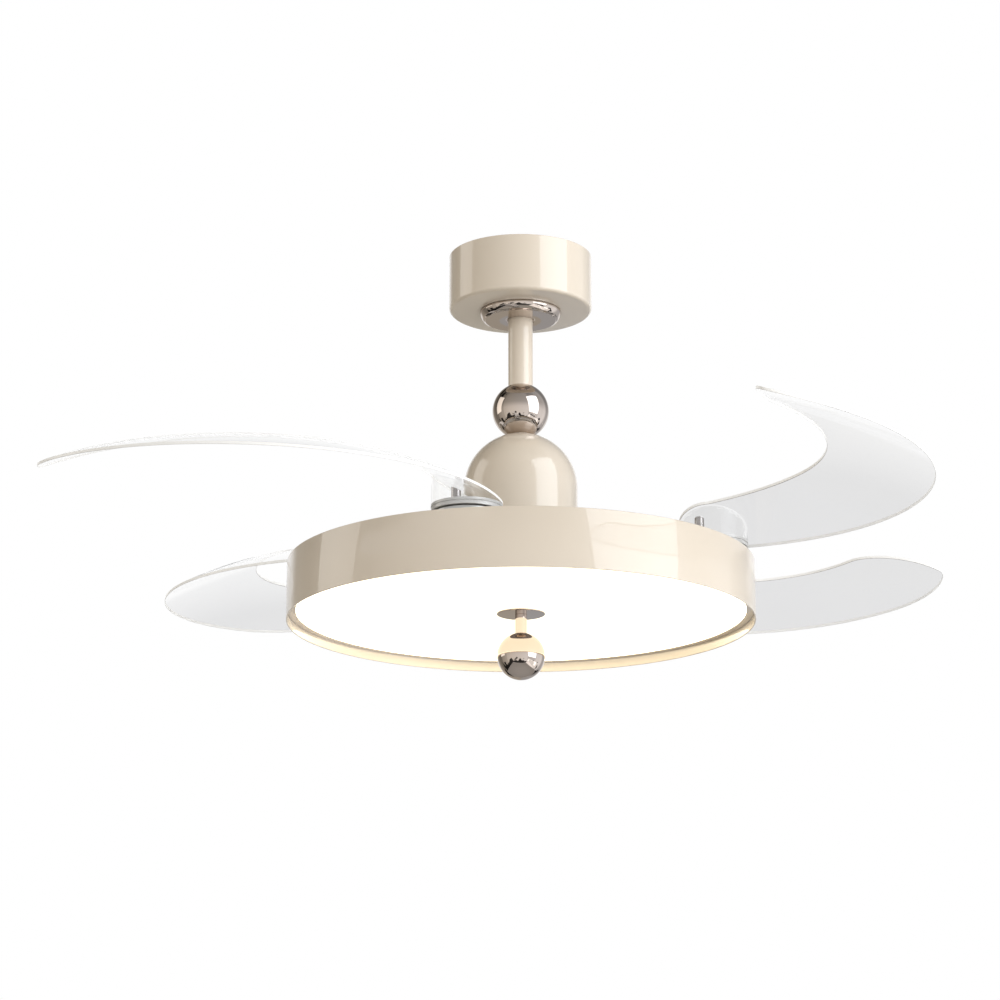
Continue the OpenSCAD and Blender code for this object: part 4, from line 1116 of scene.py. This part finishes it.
def patch(name, az, el, radiance, color=(1, 1, 1)):
    """Soft lamp that fills the bearings az and the elevations el, in degrees, as the fan sees it."""
    distance, aim = 3.2, Vector((0, 0, up(120)))
    wide, high = (2 * distance * math.tan(math.radians((b - a) / 2)) for a, b in (az, el))
    side, lift = (math.radians(sum(pair) / 2) for pair in (az, el))
    outwards = Vector((math.sin(side) * math.cos(lift), -math.cos(side) * math.cos(lift), math.sin(lift)))
    data = bpy.data.lights.new(name, "AREA")
    data.shape = "RECTANGLE"
    data.size, data.size_y = wide, high
    data.energy = radiance * math.pi * wide * high
    data.color = color
    ob = new_object(name, data)
    ob.location = aim + distance * outwards
    ob.rotation_euler = (-outwards).to_track_quat("-Z", "Y").to_euler()
    ob.visible_camera = False


patch("window_right", (33, 78), (-13, 50), 2.45, (0.95, 1.0, 1.06))
patch("floor_right", (40, 100), (-50, -26), 1.2)
patch("window_left", (-111, -84), (0, 42), 1.2, (1.0, 0.97, 0.92))


def mixed(out, factor, low, high):
    """Sends the mix of two shaders to the output, all low at 0 and all high at 1."""
    mix = add_node(out.id_data, "MixShader", {0: factor, 1: low.outputs[0], 2: high.outputs[0]})
    connect(out, {0: mix.outputs[0]})


def band(value, rise, fall):
    """1 between two positions and 0 outside, with a soft rise and fall."""
    return ramp(value, [(rise[0], 0.0), (rise[1], 1.0), (fall[0], 1.0), (fall[1], 0.0)])


def darkened(where, shapes):
    """Level that follows the shapes where it is 1, and stays at 1 elsewhere."""
    return number("MULTIPLY_ADD", where, number("SUBTRACT", shapes, 1.0), 1.0)


def bearing(deg):
    """Position of a bearing from -Y towards +X on the ramps round the room."""
    return (deg + 180) / 360


world = bpy.data.worlds.new("studio")
scene.world = world
world.use_nodes = True
studio = world.node_tree
studio.nodes.clear()
rays = add_node(studio, "LightPath").outputs
direction = add_node(studio, "TexCoord").outputs["Generated"]
east, north, height = add_node(studio, "SeparateXYZ", {0: direction}).outputs

# Position round the room from 0 to 1, and from straight down to straight up
around = number("DIVIDE", number("ARCTAN2", east, number("MULTIPLY", north, -1.0)), math.tau)
around = number("ADD", around, 0.5)
rise = number("MULTIPLY_ADD", height, 0.5, 0.5)

# The walls of the room, brighter and cooler towards the windows at the right
WALLS = [
    (-180, 0.42), (-165, 0.46), (-150, 0.50), (-146, 0.42), (-136, 0.36), (-122, 0.22), (-107, 0.26),
    (-105, 0.30), (-103, 0.42), (-87, 0.50), (-77, 0.60), (-75.5, 0.40), (-74, 0.72), (-50, 0.86),
    (-20, 0.93), (0, 0.97), (33, 1.04), (34, 0.70), (76, 0.85), (82, 1.08), (100, 1.08), (112, 1.15),
    (119, 1.05), (126, 0.62), (165, 0.46), (180, 0.42)]
HEIGHTS = [(0.0, 1.15), (0.14, 1.15), (0.30, 1.1), (0.46, 1.08), (0.56, 1.0), (0.72, 0.58), (0.93, 0.46),
           (1.0, 0.30)]
WARM, COOL = (1.0, 0.93, 0.81), (0.985, 1.0, 1.03)


def wall_color(deg, level):
    k = min(max((deg + 110) / 160, 0.0), 1.0)
    return tuple(level * (warm + (cool - warm) * k) for warm, cool in zip(WARM, COOL))


walls = ramp(around, [(bearing(deg), wall_color(deg, level)) for deg, level in WALLS])

# Dark furniture along the foot of the walls, and a beam above the left window
clouds = noise(direction, 3.3, 3.0, (1.0, 1.0, 0.7))
peaks = number("MULTIPLY_ADD", number("SUBTRACT", 0.28, rise), 1.2, clouds)
furniture = ramp(peaks, [(0.50, 1.0), (0.515, 0.05), (1.0, 0.02)])
foot = number("MULTIPLY", band(rise, (0.13, 0.15), (0.37, 0.40)),
              band(around, (bearing(-165), bearing(-150)), (bearing(140), bearing(160))))
beams = ramp(clouds, [(0.44, 1.0), (0.455, 0.06), (1.0, 0.02)])
above_left = number("MULTIPLY", band(rise, (0.80, 0.81), (0.90, 0.91)),
                    ramp(around, [(bearing(-88), 1.0), (bearing(-86), 0.0)]))
clutter = number("MULTIPLY", darkened(foot, furniture), darkened(above_left, beams))
level = number("MULTIPLY", ramp(rise, HEIGHTS), clutter)
room = add_node(studio, "VectorMath", {0: walls, "Scale": level}, operation="SCALE").outputs[0]

# Soft light from behind, which falls on matt surfaces but isn't seen in the glossy ones
BACK_LIGHT = 0.42
at_back = ramp(around, [(bearing(-150), BACK_LIGHT), (bearing(-120), 0.0), (bearing(125), 0.0),
                        (bearing(155), BACK_LIGHT)])
soft = number("MULTIPLY", at_back, rays["Is Diffuse Ray"])
room = add_node(studio, "VectorMath", {0: room, 1: soft}, operation="ADD").outputs[0]

# White backdrop, which shows through the blades, and in metal where it hangs behind the fan
behind = number("MULTIPLY", ramp(north, [(0.78, 0.0), (0.88, 1.0)]),
                band(rise, (0.43, 0.47), (0.80, 0.83)))
seen = number("MAXIMUM", rays["Is Camera Ray"], rays["Is Transmission Ray"])
seen = number("MAXIMUM", seen, number("MULTIPLY", rays["Is Glossy Ray"], behind))
mixed(add_node(studio, "OutputWorld"), seen, add_node(studio, "Background", {0: room}),
      add_node(studio, "Background", {0: (1, 1, 1, 1)}))


def pale_floor(low=-5.4, half=5.2, fade=(2.4, 4.6)):
    """Floor far enough below for a view from underneath, which fades into the white backdrop."""
    ob = add_mesh("floor", [(-half, -half, low), (half, -half, low), (half, half, low), (-half, half, low)],
                  [(0, 1, 2, 3)])
    look = plain("pale_floor", (0.80, 0.79, 0.77), 0.6, vary=0.02, scale=2, grain=0.05)
    nodes = look.node_tree.nodes
    rays = add_node(look.node_tree, "LightPath").outputs
    direct = number("MAXIMUM", rays["Is Camera Ray"], rays["Is Transmission Ray"])
    far = away(nodes["Texture Coordinate"].outputs["Object"], fade, 0.0, 1.0)
    mixed(nodes["Material Output"], number("MULTIPLY", far, direct), nodes["Principled BSDF"],
          add_node(look.node_tree, "Emission"))
    ob.data.materials.append(look)


pale_floor()

cam_data = bpy.data.cameras.new("camera")
cam_data.lens = 112.43
cam_data.sensor_width = 36.0
cam_data.clip_end = 60.0
cam = new_object("camera", cam_data)
cam.location = (0.0, -3.2443, -1.1572)
cam.rotation_euler = (math.radians(90 + 15.204), 0, math.radians(0.395))
scene.camera = cam

scene.view_settings.view_transform = "Standard"
